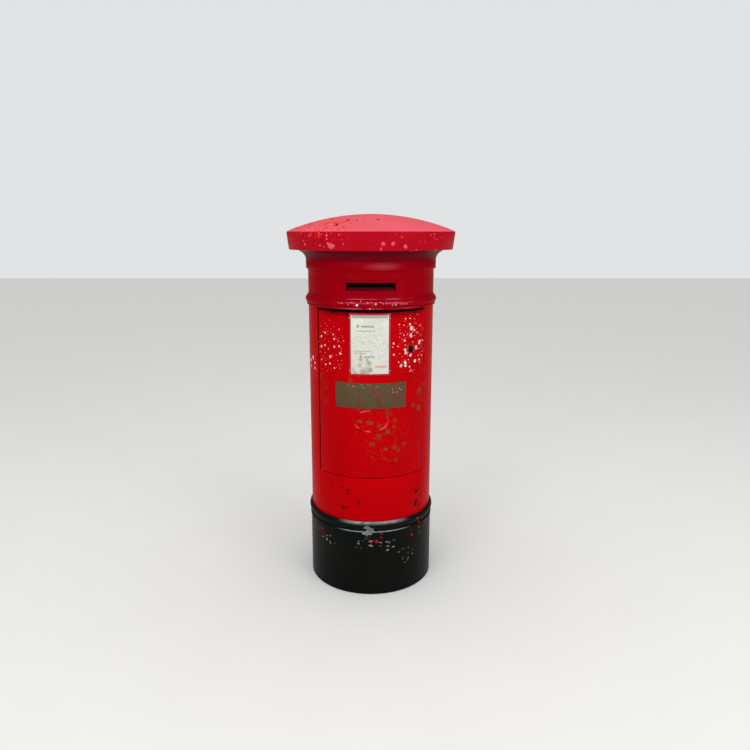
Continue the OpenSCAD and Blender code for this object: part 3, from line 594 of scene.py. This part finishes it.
def slottedScrew(name, headRadius, headHeight, slotWidth):
    # a round head at the origin that faces -Y, with a slot across it
    deselectAll()
    bpy.ops.mesh.primitive_uv_sphere_add(segments=24, ring_count=12, radius=headRadius * mm)
    head = startPiece(name, (1, headHeight / headRadius, 1))
    editMode()
    bpy.ops.mesh.bisect(plane_co=(0, 0, 0), plane_no=(0, 1, 0), clear_outer=True, use_fill=True)
    objectMode()
    if slotWidth:
        deselectAll()
        bpy.ops.mesh.primitive_cube_add(size=1, location=(0, -headHeight * mm, 0), rotation=(0, 0.5, 0),
                                        scale=(3 * headRadius * mm, headHeight * mm, slotWidth * mm))
        combine(head, "DIFFERENCE")
    selectOnly(head)
    bpy.ops.object.shade_smooth_by_angle(angle=math.radians(35))
    return head


def copyTo(pattern, places):
    # one piece made of copies of the pattern, each with its own mesh; places are (turn, distance, height)
    copies = []
    for turn, distance, height in places:
        copy = bpy.data.objects.new(pattern.name, pattern.data.copy())
        bpy.context.collection.objects.link(copy)
        copy.data.transform(Matrix.Translation(atTurn(turn, distance, height))
                            @ Matrix.Rotation(math.radians(turn), 4, "Z"))
        copies.append(copy)
    bpy.data.objects.remove(pattern)
    joinPieces(copies[0], copies[1:])
    return copies[0]


def buildNoticeScrews():
    screw = slottedScrew("notice_screw_heads", 2.4, 1.3, 0.7)
    side = degreesAcross(notice["width"] / 2 + notice["frameWidth"] / 2 + 0.2)
    places = [(notice["turn"] + sign * side, radius + notice["frameOut"], height)
              for sign in (-1, 1)
              for height in (noticeLow + notice["screwInset"], noticeHigh - notice["screwInset"])]
    return copyTo(screw, places)


# plain bars in the place of print: how far across and up the notice, width and height, in mm
printedBars = {
    "greyPrint": [(-72, 224, 144, 12), (-52, 186, 10, 13), (-34, 188, 52, 7), (-52, 172, 74, 3),
                  (-66, 92, 70, 3), (-66, 84, 52, 3), (-40, 66, 9, 13), (-24, 68, 44, 6)],
    "orangePrint": [(22, 27, 46, 9)],
}


def buildPrint(ink):
    bars = []
    for across, up, width, height in printedBars[ink]:
        bar = flatPlate(ink, width, height, 0.25, noticeLow + up,
                        notice["clearance"] / 2 - door["recess"] + notice["thickness"] - 0.1, 0.6)
        cutAcross(bar, max(1, round(width / 6)))
        objectMode()
        for vertex in bar.data.vertices:
            vertex.co.x += (across + width / 2) * mm
        bars.append(bar)
    joinPieces(bars[0], bars[1:])
    wrapRound(bars[0], notice["turn"])
    return bars[0]


blank = {"width": 297, "height": 104, "thickness": 2, "clearance": 0.3, "low": 820, "corner": 3, "rivetInset": 11}


def buildBlankPlate():
    plate = flatPlate("blank_olive_plate", blank["width"], blank["height"], blank["thickness"], blank["low"],
                      blank["clearance"], blank["corner"])
    cutAcross(plate, 41)
    roundEdges(plate, 0.6)
    wrapRound(plate)
    return plate


def buildBlankRivets():
    rivet = slottedScrew("blank_rivet_heads", 4.5, 2.1, 0)
    side = degreesAcross(blank["width"] / 2 - blank["rivetInset"])
    inset, out = blank["rivetInset"], radius + blank["clearance"] + blank["thickness"]
    places = [(sign * side, out, height) for sign in (-1, 1)
              for height in (blank["low"] + inset, blank["low"] + blank["height"] - inset)]
    return copyTo(rivet, places)


def refineNode(node, name, rounding):
    # a CAD node's own shape, merged and with its edges softened
    source = frame["nodes"][node]
    piece = bpy.data.objects.new(name, source.data.copy())
    bpy.context.collection.objects.link(piece)
    selectOnly(piece)
    bpy.ops.mesh.customdata_custom_splitnormals_clear()
    editMode()
    bpy.ops.mesh.remove_doubles(threshold=0.01 * mm)
    bpy.ops.mesh.dissolve_limited(angle_limit=math.radians(0.5))
    roundEdges(piece, rounding, 35)
    return piece


# materials

def softBall(tree, position, centre, size, core=0.6):
    # 1 round a centre, falling past the core to 0 at that size away along X, Y and Z, all in mm
    offset = addNode(tree, "VectorMath", {0: position, 1: [v * mm for v in centre]}, operation="SUBTRACT")
    scaled = addNode(tree, "VectorMath", {0: offset, 1: [v * mm for v in size]}, operation="DIVIDE")
    reach = addNode(tree, "VectorMath", {0: scaled}, operation="LENGTH")
    return addNode(tree, "MapRange", {0: reach, 1: core, 2: 1.0, 3: 1.0, 4: 0.0}, interpolation_type="SMOOTHSTEP")


def skinOf(tree, position, distance):
    # unrolls the surface round the axis: metres along the wall, then metres up
    parts = addNode(tree, "SeparateXYZ", {0: position})
    front = addNode(tree, "Math", {0: parts.outputs[1], 1: -1.0}, operation="MULTIPLY")
    turn = addNode(tree, "Math", {0: parts, 1: front}, operation="ARCTAN2")
    along = addNode(tree, "Math", {0: turn, 1: distance * mm}, operation="MULTIPLY")
    return addNode(tree, "CombineXYZ", {0: along, 1: parts.outputs[2]})


def flecks(tree, position, skin, under, settings):
    # drops of paint: round cells of random size, only where the regions are, and ragged by some noise
    cell, rare = settings["cell"], settings["rare"]
    if "stretch" in settings:
        skin = addNode(tree, "Mapping", {0: skin, 3: settings["stretch"]})
    shake = addNode(tree, "TexNoise", {"Vector": skin, "Scale": perMetre(cell / 2)})
    centred = addNode(tree, "VectorMath", {0: shake.outputs["Color"], 1: (0.5, 0.5, 0.5)}, operation="SUBTRACT")
    moved = addNode(tree, "VectorMath", {0: centred, 1: [cell * settings["ragged"] * mm] * 3, 2: skin},
                    operation="MULTIPLY_ADD")
    cells = addNode(tree, "TexVoronoi", {"Vector": moved, "Scale": perMetre(cell)}, voronoi_dimensions="2D")
    random = addNode(tree, "SeparateColor", {0: cells.outputs["Color"]})
    size = addNode(tree, "MapRange", {0: random, 1: rare, 2: 1.0, 3: settings["small"] / cell,
                                      4: settings["large"] / cell})
    shown = addNode(tree, "Math", {0: random, 1: rare}, operation="GREATER_THAN")
    size = addNode(tree, "Math", {0: size, 1: shown}, operation="MULTIPLY")
    region = 0.0
    for centre, spread, *strength in settings["regions"]:
        ball = softBall(tree, position, centre, spread)
        if strength:
            ball = addNode(tree, "Math", {0: ball, 1: strength[0]}, operation="MULTIPLY")
        region = addNode(tree, "Math", {0: region, 1: ball}, operation="MAXIMUM")
    size = addNode(tree, "Math", {0: size, 1: region}, operation="MULTIPLY")
    inside = addNode(tree, "Math", {0: size, 1: cells}, operation="SUBTRACT")
    mask = addNode(tree, "Math", {0: inside, 1: settings["crisp"]}, operation="MULTIPLY", use_clamp=True)
    mask = addNode(tree, "Math", {0: mask, 1: settings["cover"]}, operation="MULTIPLY")
    paint = addNode(tree, "Mix", {0: random.outputs[1], 6: settings["paints"][0], 7: settings["paints"][1]},
                    data_type="RGBA")
    return addNode(tree, "Mix", {0: mask, 6: under, 7: paint}, data_type="RGBA"), mask


def brushOn(tree, position, shader, tone, grain, peel, extra=None):
    # shallow waves of a sand casting, with the fine orange peel of brushed enamel over them
    setInput(shader, "Base Color", tone)
    waves = addNode(tree, "TexNoise", {"Vector": position, "Scale": perMetre(45), "Detail": 3.0})
    peeled = addNode(tree, "TexNoise", {"Vector": position, "Scale": perMetre(3.5)})
    bump = addNode(tree, "Bump", {"Height": waves, "Distance": grain * mm})
    bump = addNode(tree, "Bump", {"Height": peeled, "Distance": peel * mm, "Normal": bump})
    if extra is not None:
        bump = addNode(tree, "Bump", {"Height": extra, "Distance": 0.4 * mm, "Strength": 0.7, "Normal": bump})
    setInput(shader, "Normal", bump)


# drops and stains, from the lowest layer to the top one; sizes and places in mm
redMarks = {
    "oliveDabs": {
        "cell": 15, "ragged": 0.9, "rare": 0.5, "small": 1.5, "large": 6, "crisp": 4, "cover": 0.6,
        "paints": ("#5e4420", "#8a2a14"),
        "regions": [((60, -255, 720), (170, 110, 190)), ((200, -160, 900), (70, 110, 160)),
                    ((-215, -140, 830), (70, 110, 200))]},
    "oliveStains": {
        "cell": 38, "ragged": 0.75, "rare": 0.2, "small": 4, "large": 17, "crisp": 4, "cover": 0.75,
        "paints": ("#5a4826", "#703214"),
        "regions": [((75, -255, 690), (110, 90, 150)), ((200, -170, 840), (65, 95, 95)),
                    ((-225, -140, 850), (75, 120, 130), 1.3), ((20, -265, 790), (150, 60, 50)),
                    ((-90, -250, 945), (60, 60, 25), 0.8)]},
    "darkSpecks": {
        "cell": 24, "ragged": 0.4, "rare": 0.55, "small": 1.2, "large": 7, "crisp": 10, "cover": 0.9,
        "paints": ("#200405", "#4c0509"),
        "regions": [((0, -265, 1234), (230, 110, 22)), ((150, -210, 1060), (50, 60, 40)),
                    ((-120, -235, 425), (110, 90, 90), 1.3), ((195, -175, 405), (50, 90, 60), 2.0)]},
    "pinkSpecks": {
        "cell": 12, "ragged": 0.25, "rare": 0.45, "small": 0.9, "large": 3.2, "crisp": 12, "cover": 0.9,
        "paints": ("#f3b4b4", "#e03a44"),
        "regions": [((165, -200, 1070), (100, 120, 165)), ((-170, -200, 1060), (100, 130, 150), 0.7),
                    ((-235, -100, 1000), (60, 130, 120), 0.7), ((0, -265, 1240), (220, 100, 16))]},
    "whiteDrops": {
        "cell": 25, "ragged": 0.25, "rare": 0.35, "small": 1.8, "large": 9.5, "crisp": 18, "cover": 0.95,
        "paints": ("#f6dedd", "#ee9a9e"),
        "regions": [((148, -215, 1075), (95, 120, 130)), ((-160, -210, 1060), (85, 110, 115), 0.7),
                    ((-240, -110, 975), (40, 70, 45)), ((-20, -265, 1236), (150, 90, 20), 0.7)]},
}


def redEnamel():
    # gloss enamel, brushed on cast iron many times over: deep colour, softened relief, a wet shine
    material, tree, shader, position = startMaterial("glossRedEnamelOnCastIron", 0.34, 0.012)
    coarse = addNode(tree, "TexNoise", {"Vector": position, "Scale": perMetre(160), "Detail": 4.0})
    tone = addNode(tree, "Mix", {0: coarse, 6: "#a20005", 7: "#bc0009"}, data_type="RGBA")
    skin = skinOf(tree, position, radius)
    height = addNode(tree, "SeparateXYZ", {0: position}).outputs[2]

    # painted shadow of the collar: near-black streaks over the top of the door and the head of the doorway, at the
    # front
    streaks = addNode(tree, "Mapping", {0: position, 3: (perMetre(14), perMetre(14), perMetre(150))})
    streaks = addNode(tree, "TexNoise", {"Vector": streaks, "Scale": 1.0, "Detail": 3.0})
    collarShadow = addNode(tree, "MapRange", {0: height, 1: 1.180, 2: 1.206, 3: 0.0, 4: 1.5})
    collarShadow = addNode(tree, "Math", {0: collarShadow, 1: streaks}, operation="MULTIPLY", use_clamp=True)
    below = addNode(tree, "Math", {0: height, 1: column["headHeight"] * mm + 0.002}, operation="LESS_THAN")
    for limit in (below, softBall(tree, position, (0, -265, 1200), (300, 200, 50))):
        collarShadow = addNode(tree, "Math", {0: collarShadow, 1: limit}, operation="MULTIPLY")

    # all that lies behind the outer skin: jambs, ledges, ribs and the bore, painted near black as dark primer and as
    # painted shade in the gaps; and above them the slot's throat, painted dark red as painted shade inside the slot
    flat = addNode(tree, "VectorMath", {0: position, 1: (1.0, 1.0, 0.0)}, operation="MULTIPLY")
    fromAxis = addNode(tree, "VectorMath", {0: flat}, operation="LENGTH")
    behind = addNode(tree, "MapRange", {0: fromAxis, 1: (radius - 3.5) * mm, 2: (radius - 2.2) * mm, 3: 1.0, 4: 0.0})
    belowNeck = addNode(tree, "Math", {0: height, 1: column["neckHeight"] * mm}, operation="LESS_THAN")
    inner = addNode(tree, "Math", {0: behind, 1: belowNeck}, operation="MULTIPLY")
    aboveNeck = addNode(tree, "Math", {0: 1.0, 1: belowNeck}, operation="SUBTRACT")
    throatShade = addNode(tree, "Math", {0: behind, 1: aboveNeck}, operation="MULTIPLY")

    # painted shade: the collar and the neck, under the cap, are painted a little darker than the shaft
    neck = addNode(tree, "MapRange", {0: height, 1: 1.216, 2: 1.222})
    layers = [(collarShadow, "#2a0206"), (neck, "#94000f"), (throatShade, "#5c0a14")]

    # painted highlights: pinkish streaks along the collar's edges, and a soft pale glow on part of the cornice
    along = addNode(tree, "Mapping", {0: skin, 3: (perMetre(60), perMetre(6), 1.0)})
    ridgeHighlight = addNode(tree, "TexNoise", {"Vector": along, "Scale": 1.0, "Detail": 3.0})
    ridgeHighlight = addNode(tree, "MapRange", {0: ridgeHighlight, 1: 0.42, 2: 0.62, 3: 0.0, 4: 0.7})
    for middle, reach, size in ((1221, 3, 230), (1244, 5, 200), (1258, 3, 230)):
        edge = softBall(tree, position, (30, -270, middle), (size, 110, reach))
        layers.append((addNode(tree, "Math", {0: edge, 1: ridgeHighlight}, operation="MULTIPLY"), "#c4586e"))
    corniceGlow = softBall(tree, position, (45, -275, 1383), (95, 80, 20), 0.0)
    layers.append((addNode(tree, "Math", {0: corniceGlow, 1: 0.13}, operation="MULTIPLY"), "#d88a94"))

    # the raised oval's crest is painted lighter here and there
    lighterOvalCrest = addNode(tree, "MapRange", {0: fromAxis, 1: (radius + 0.7) * mm, 2: (radius + 2.2) * mm})
    patchy = addNode(tree, "TexNoise", {"Vector": position, "Scale": perMetre(45)})
    patchy = addNode(tree, "MapRange", {0: patchy, 1: 0.46, 2: 0.6, 3: 0.0, 4: 0.75})
    for limit in (softBall(tree, position, (0, -265, 768), (100, 60, 70)), patchy):
        lighterOvalCrest = addNode(tree, "Math", {0: lighterOvalCrest, 1: limit}, operation="MULTIPLY")
    layers.append((lighterOvalCrest, "#e24a58"))

    for mask, code in layers:
        tone = addNode(tree, "Mix", {0: mask, 6: tone, 7: code}, data_type="RGBA")
    masks = {}
    for name, settings in redMarks.items():
        tone, masks[name] = flecks(tree, position, skin, tone, settings)
    tone = addNode(tree, "Mix", {0: inner, 6: tone, 7: "#23090a"}, data_type="RGBA")    # dark primer, and painted shade in the gaps and jambs
    setInput(shader, "Roughness", addNode(tree, "MapRange", {0: masks["oliveStains"], 3: 0.34, 4: 0.62}))
    brushOn(tree, position, shader, tone, 0.5, 0.06, masks["whiteDrops"])
    return material


capMarks = [
    {"cell": 17, "ragged": 1.2, "rare": 0.05, "small": 3.5, "large": 9.5, "crisp": 6, "cover": 0.8,
     "stretch": (1.0, 0.6, 1.0), "paints": ("#dc3a24", "#b8161e"),    # rust
     "regions": [((-195, -200, 1530), (190, 240, 60))]},
    {"cell": 40, "ragged": 0.25, "rare": 0.3, "small": 1.5, "large": 10, "crisp": 16, "cover": 0.95,
     "stretch": (1.0, 0.4, 1.0), "paints": ("#300c10", "#8a1c22"),    # dark specks on the dome
     "regions": [((-20, -220, 1540), (190, 170, 70))]},
    {"cell": 17, "ragged": 0.3, "rare": 0.4, "small": 1, "large": 5, "crisp": 12, "cover": 0.9,
     "paints": ("#ee8c92", "#dc3040"),    # pale specks
     "regions": [((-200, -280, 1480), (170, 150, 50)), ((180, -280, 1495), (190, 150, 26)),
                 ((-190, -190, 1525), (120, 120, 60))]},
    {"cell": 52, "ragged": 0.35, "rare": 0.3, "small": 3, "large": 17, "crisp": 14, "cover": 0.85,
     "paints": ("#e0606e", "#cf3a4a"),    # salmon drops on the upright rim
     "regions": [((190, -290, 1458), (230, 220, 36)), ((-180, -300, 1450), (90, 110, 30))]},
]


def capEnamel():
    # the same enamel on the cap: rougher on top, still deep on the upright rim; its up-facing faces are painted pale
    # pink as a painted reflection of the sky, and its cove is painted dark as painted shade
    material, tree, shader, position = startMaterial("capRedEnamelWithPaintedSkyAndShade", 0.42, 0.02)
    height = addNode(tree, "SeparateXYZ", {0: position}).outputs[2]
    upright = addNode(tree, "MapRange", {0: height, 1: 1.512, 2: 1.515, 3: 1.0, 4: 0.0})
    skin = addNode(tree, "Mix", {0: upright, 4: position, 5: skinOf(tree, position, cap["radius"])},
                   data_type="VECTOR")
    coarse = addNode(tree, "TexNoise", {"Vector": position, "Scale": perMetre(120), "Detail": 5.0})
    up = addNode(tree, "SeparateXYZ", {0: addNode(tree, "TexCoord").outputs["Normal"]}).outputs[2]
    # up-facing faces: rougher, and painted pale pink as a painted reflection of the sky
    onTop = addNode(tree, "MapRange", {0: up, 1: 0.35, 2: 0.75})
    # painted shade: the cove under the fascia is painted dark red, a little darker towards its top
    under = addNode(tree, "MapRange", {0: height, 1: 1.440, 2: 1.444, 3: 1.0, 4: 0.0})
    coveShadeDeepening = addNode(tree, "MapRange", {0: height, 1: 1.420, 2: 1.434})
    rim, skyReflection, coveShade = [addNode(tree, "Mix", {0: mask, 6: first, 7: second}, data_type="RGBA")
                        for mask, first, second in ((coarse, "#a00616", "#b80a20"), (coarse, "#cc4e58", "#dc5f6a"),
                                                    (coveShadeDeepening, "#6c0314", "#580c13"))]
    tone = rim
    for mask, over in ((onTop, skyReflection), (under, coveShade)):
        tone = addNode(tree, "Mix", {0: mask, 6: tone, 7: over}, data_type="RGBA")
    for settings in capMarks:
        tone, drops = flecks(tree, position, skin, tone, settings)
    setInput(shader, "Roughness", addNode(tree, "MapRange", {0: onTop, 3: 0.36, 4: 0.6}))
    brushOn(tree, position, shader, tone, 0.6, 0.06, drops)
    return material


baseMarks = [
    {"cell": 24, "ragged": 0.3, "rare": 0.45, "small": 1.5, "large": 9, "crisp": 12, "cover": 0.9,
     "paints": ("#b41424", "#6c0a16"),    # red drops
     "regions": [((205, -180, 275), (90, 130, 60)), ((-225, -150, 262), (60, 110, 60)),
                 ((60, -270, 262), (130, 90, 36))]},
    {"cell": 14, "ragged": 0.8, "rare": 0.35, "small": 1, "large": 5.5, "crisp": 10, "cover": 0.9,
     "stretch": (0.55, 1.0, 1.0), "paints": ("#95938f", "#5c5e5c"),     # grey flakes
     "regions": [((25, -270, 222), (130, 80, 42)), ((-180, -200, 225), (60, 80, 32)),
                 ((-15, -275, 285), (32, 50, 32)), ((150, -230, 165), (55, 80, 45))]},
]


def blackEnamel():
    # bituminous black gloss, with a green cast where moss and rain have dulled its upper mouldings
    material, tree, shader, position = startMaterial("blackEnamelOnCastIron", 0.38, 0.03)
    skin = skinOf(tree, position, radius)
    height = addNode(tree, "SeparateXYZ", {0: position}).outputs[2]
    coarse = addNode(tree, "TexNoise", {"Vector": position, "Scale": perMetre(110), "Detail": 4.0})
    tone = addNode(tree, "Mix", {0: coarse, 6: "#0c0b09", 7: "#121210"}, data_type="RGBA")
    moss = addNode(tree, "MapRange", {0: height, 1: 0.2, 2: 0.33, 3: 0.0, 4: 0.8})
    low = addNode(tree, "Math", {0: height, 1: 0.4}, operation="LESS_THAN")
    moss = addNode(tree, "Math", {0: moss, 1: low}, operation="MULTIPLY")

    # painted reflection of the sky: a blue-grey sheen on the up-facing ledges at the front; and one ragged grey
    # smear at the front
    up = addNode(tree, "SeparateXYZ", {0: addNode(tree, "TexCoord").outputs["Normal"]}).outputs[2]
    beadSkyReflection = addNode(tree, "MapRange", {0: up, 1: 0.1, 2: 0.75})
    streak = addNode(tree, "TexNoise", {"Vector": position, "Scale": perMetre(22), "Detail": 4.0})
    for limit in (softBall(tree, position, (15, -275, 302), (190, 140, 60)), streak):
        beadSkyReflection = addNode(tree, "Math", {0: beadSkyReflection, 1: limit}, operation="MULTIPLY")
    beadSkyReflection = addNode(tree, "Math", {0: beadSkyReflection, 1: 1.7}, operation="MULTIPLY", use_clamp=True)
    smear = softBall(tree, position, (-14, -275, 288), (50, 70, 48), 0.0)
    smear = addNode(tree, "Math", {0: streak, 1: 3.0, 2: smear}, operation="MULTIPLY_ADD")
    smear = addNode(tree, "MapRange", {0: smear, 1: 2.15, 2: 2.4, 3: 0.0, 4: 0.6})
    for mask, code in ((moss, "#07130e"), (beadSkyReflection, "#8f999c"), (smear, "#8a8688")):
        tone = addNode(tree, "Mix", {0: mask, 6: tone, 7: code}, data_type="RGBA")
    for settings in baseMarks:
        tone, flakes = flecks(tree, position, skin, tone, settings)
    brushOn(tree, position, shader, tone, 0.6, 0.07, flakes)
    return material


def paintedSteel():
    # the same red on pressed steel: smoother, as there is no casting skin under it
    material, tree, shader, position = startMaterial("glossRedEnamelOnSteel", 0.32, 0.3)
    fine = addNode(tree, "TexNoise", {"Vector": position, "Scale": perMetre(25), "Detail": 4.0})
    tone = addNode(tree, "Mix", {0: fine, 6: "#960208", 7: "#b8060e"}, data_type="RGBA")
    brushOn(tree, position, shader, tone, 0.15, 0.04)
    return material


blankMarks = [
    {"cell": 28, "ragged": 0.7, "rare": 0.5, "small": 2, "large": 9, "crisp": 7, "cover": 0.7,
     "paints": ("#8a1812", "#a02018"), "regions": [((0, -268, 870), (170, 80, 60))]},    # red showing through
    {"cell": 9, "ragged": 1.1, "rare": 0.5, "small": 0.5, "large": 2.6, "crisp": 8, "cover": 0.85,
     "paints": ("#c9bfa4", "#e0968a"),    # scratches
     "regions": [((0, -268, 913), (140, 60, 16)), ((100, -245, 885), (45, 50, 30))]},
]


def olivePaint():
    # flat olive drab, brushed on thin, worn to brown undercoat
    material, tree, shader, position = startMaterial("wornOlivePaintOnSteel", 0.62, 0.3)
    skin = skinOf(tree, position, radius)
    stretched = addNode(tree, "Mapping", {0: position, 3: (1.0, 1.0, 0.45)})
    worn = addNode(tree, "TexNoise", {"Vector": stretched, "Scale": perMetre(34), "Detail": 5.0, "Distortion": 0.6})
    worn = addNode(tree, "MapRange", {0: worn, 1: 0.46, 2: 0.66, 3: 0.0, 4: 0.9})
    tone = addNode(tree, "Mix", {0: worn, 6: "#4b3f22", 7: "#5c2c14"}, data_type="RGBA")
    for settings in blankMarks:
        tone, scratched = flecks(tree, position, skin, tone, settings)
    brushOn(tree, position, shader, tone, 0.2, 0.05, scratched)
    return material


noticeMarks = [
    {"cell": 27, "ragged": 0.9, "rare": 0.05, "small": 7, "large": 18, "crisp": 2.2, "cover": 0.8,
     "paints": ("#857b6a", "#a0927f"), "regions": [((-36, -265, 992), (60, 60, 50), 1.2)]},    # dirt
    {"cell": 10, "ragged": 0.4, "rare": 0.4, "small": 0.6, "large": 2.6, "crisp": 9, "cover": 0.8,
     "paints": ("#3a3f36", "#8c8674"), "regions": [((0, -265, 1050), (90, 60, 110))]},    # specks
]


def noticeEnamel():
    # vitreous enamel: a hard, glassy, slightly green white, speckled with dirt
    material, tree, shader, position = startMaterial("vitreousEnamel", 0.3)
    skin = skinOf(tree, position, radius)
    mottle = addNode(tree, "TexNoise", {"Vector": position, "Scale": perMetre(14), "Detail": 5.0})
    tone = addNode(tree, "Mix", {0: mottle, 6: "#b9b9ac", 7: "#e0dfd7"}, data_type="RGBA")
    for settings in noticeMarks:
        tone, specks = flecks(tree, position, skin, tone, settings)
    brushOn(tree, position, shader, tone, 0.1, 0.02, specks)
    return material


def printInk(name, code):
    # fired ink, flatter than the enamel round it
    material, tree, shader, position = startMaterial(name, 0.5, 0.4)
    worn = addNode(tree, "TexNoise", {"Vector": position, "Scale": perMetre(4), "Detail": 4.0})
    setInput(shader, "Base Color", addNode(tree, "Mix", {0: worn, 6: code, 7: "#b9bdb4"}, data_type="RGBA"))
    return material


def bareMetal(name, dark, light, patch, roughness, brushed):
    # patch is the size of the tone's changes; brushed stretches the fine marks along Z
    material, tree, shader, position = startMaterial(name, roughness, metallic=1.0)
    cells = addNode(tree, "TexVoronoi", {"Vector": position, "Scale": perMetre(patch)})
    tint = addNode(tree, "SeparateColor", {0: cells.outputs["Color"]})
    cloud = addNode(tree, "TexNoise", {"Vector": position, "Scale": perMetre(3 * patch), "Detail": 4.0})
    blend = addNode(tree, "Mix", {0: 0.6, 2: tint, 3: cloud})
    setInput(shader, "Base Color", addNode(tree, "Mix", {0: blend, 6: dark, 7: light}, data_type="RGBA"))
    marks = addNode(tree, "Mapping", {0: position, 3: (1.0, 1.0, 1.0 / brushed)})
    lines = addNode(tree, "TexNoise", {"Vector": marks, "Scale": perMetre(0.8)})
    setInput(shader, "Roughness", addNode(tree, "MapRange", {0: lines, 1: 0.3, 2: 0.7, 3: roughness - 0.08,
                                                             4: roughness + 0.12}))
    setInput(shader, "Normal", addNode(tree, "Bump", {"Height": lines, "Distance": 0.02 * mm, "Strength": 0.6}))
    return material


finishes = {
    "red_gloss": redEnamel(),
    "cap_red": capEnamel(),
    "base_black": blackEnamel(),
    "red_steel": paintedSteel(),
    "blank_olive": olivePaint(),
    "notice_enamel": noticeEnamel(),
    "zinc_steel": bareMetal("zincPlatedSteel", "#8f9294", "#b4b7b8", 6, 0.36, 1),
    "dark_steel": bareMetal("oiledMildSteel", "#3d4042", "#5c5f61", 9, 0.42, 6),
    "galvanised": bareMetal("hotDipGalvanisedSteel", "#7f8486", "#a9adaf", 14, 0.46, 1),
    "brass": bareMetal("machinedBrass", "#a07c34", "#c9a75a", 7, 0.3, 8),
}
print("materials ready")


# putting the pieces in place

place(buildColumn(), "carcase", "red_gloss", "column")
print("column ready")
place(buildBase(), "carcase", "base_black", "base")
place(buildCap(), "carcase", "cap_red", "cap")
print("base and cap ready")
place(buildDoor(), "door", "red_gloss", "door")
plate = buildNoticePlate()
roundEdges(plate, 0.25)
place(plate, "door", "notice_enamel", "notice_plate")
place(buildPrint("greyPrint"), "door", "notice_enamel", material=printInk("greyFiredInk", "#6f736f"))
place(buildPrint("orangePrint"), "door", "notice_enamel", material=printInk("orangeFiredInk", "#d98220"))
place(buildNoticeFrame(), "door", "red_steel", "notice_frame")
place(buildNoticeScrews(), "door", "zinc_steel", "notice_screws")
place(buildBlankPlate(), "door", "blank_olive", "blank_plate")
place(buildBlankRivets(), "door", "blank_olive", "blank_plate_rivets")
print("door and plates ready")

# these nodes keep their CAD shape, with softened edges: node and edge rounding in mm
refined = {
    "escutcheon": 0.5, "keyhole_cover": 0.6, "keyhole_cover_rivet": 0.3,
    "lock_case": 0.6, "lock_cover": 0.5, "lock_screws": 0.2, "lock_bolt": 0.5, "lock_barrel": 0.2,
    "lock_levers": 0.2, "lock_keeper": 0.3, "keeper_screws": 0.15, "slot_chute": 0.4, "chute_screws": 0.2,
    "slot_flap": 0.4, "guard_brackets": 0.5, "guard_screws": 0.2, "floor_plate": 0.5, "floor_brackets": 0.5,
    "floor_bracket_screws": 0.2, "floor_plate_screws": 0.2, "base_bolts": 0.5, "base_nuts": 0.5,
    "cap_bolts": 0.5, "hinge_pin_top": 0.4, "hinge_pin_bottom": 0.4,
}
# slot_flap and slot_chute take the black enamel as painted shade, dark inside the slot
painted = {"slot_flap": "base_black", "slot_chute": "base_black", "hinge_pin_top": "red_gloss",
           "keyhole_cover": "base_black", "hinge_washer": "dark_steel"}
slots = {row["node"]: row["material_slot"] for row in frame["record"]["subparts"]}
bodies = {node: body for body, nodes in frame["record"]["behaviour"]["bodies"].items() for node in nodes}
for node, rounding in refined.items():
    slotName = painted.get(node, slots[node])
    place(refineNode(node, "soft_" + node, rounding), bodies[node], slotName, node)
for node, piece in frame["nodes"].items():
    if not piece.hide_render:
        piece.data.materials.clear()
        piece.data.materials.append(finishes[painted.get(node, slots[node])])
print("inside ready")


# floor, light and camera

studio = {"worldColour": "#e6e8ea", "worldStrength": 0.18, "wallStrength": 0.95, "daylight": 2.3,
          "floorColour": "#dededc", "floorShade": "#dadad8", "floorSize": 40,
          "sky": {"place": (0, -0.4, 4.2), "aim": (0, 0, 0.9), "size": 4.5, "watts": 30},
          "front": {"place": (-2.4, -4.4, 2.6), "aim": (0, 0, 0.9), "size": 2.6, "watts": 80},
          "side": {"place": (3.2, -3.4, 1.8), "aim": (0, 0, 0.8), "size": 2.2, "watts": 60}}
deselectAll()
bpy.ops.mesh.primitive_plane_add(size=studio["floorSize"], location=(0, 0, -0.0005))
floor = bpy.context.object
floor.name = "studio_floor"
paper, tree, shader, position = startMaterial("matPaper", 0.9, 0.1)
grain = addNode(tree, "TexNoise", {"Vector": position, "Scale": 3.0})
setInput(shader, "Base Color", addNode(tree, "Mix", {0: grain, 6: studio["floorShade"], 7: studio["floorColour"]},
                                       data_type="RGBA"))
floor.data.materials.append(paper)

world = bpy.data.worlds.new("studio")
bpy.context.scene.world = world
world.use_nodes = True
background = world.node_tree.nodes["Background"]
setInput(background, "Color", studio["worldColour"])
seen = addNode(world.node_tree, "LightPath").outputs["Is Camera Ray"]
setInput(background, "Strength", addNode(world.node_tree, "Mix", {0: seen, 2: studio["worldStrength"],
                                                                  3: studio["wallStrength"]}))
bpy.ops.object.light_add(type="SUN", rotation=(0.15, 0, 0))
daylight = bpy.context.object
daylight.name = "daylight"
daylight.data.angle = math.radians(120)
daylight.data.energy = studio["daylight"]
for name in ("sky", "front", "side"):
    settings = studio[name]
    place3d = Vector(settings["place"])
    bpy.ops.object.light_add(type="AREA", location=place3d,
                             rotation=(Vector(settings["aim"]) - place3d).to_track_quat("-Z", "Y").to_euler())
    light = bpy.context.object
    light.name = name + "_light"
    light.data.size = settings["size"]
    light.data.energy = settings["watts"]

view = {"place": (0, -2.766, 1.504), "tilt": 77.7, "lens": 30.99, "shift": 0.0055}
bpy.ops.object.camera_add(location=view["place"], rotation=(math.radians(view["tilt"]), 0, 0))
camera = bpy.context.object
camera.data.lens = view["lens"]
camera.data.shift_x = view["shift"]
bpy.context.scene.camera = camera
bpy.context.scene.view_settings.view_transform = "Standard"

print("scene ready")
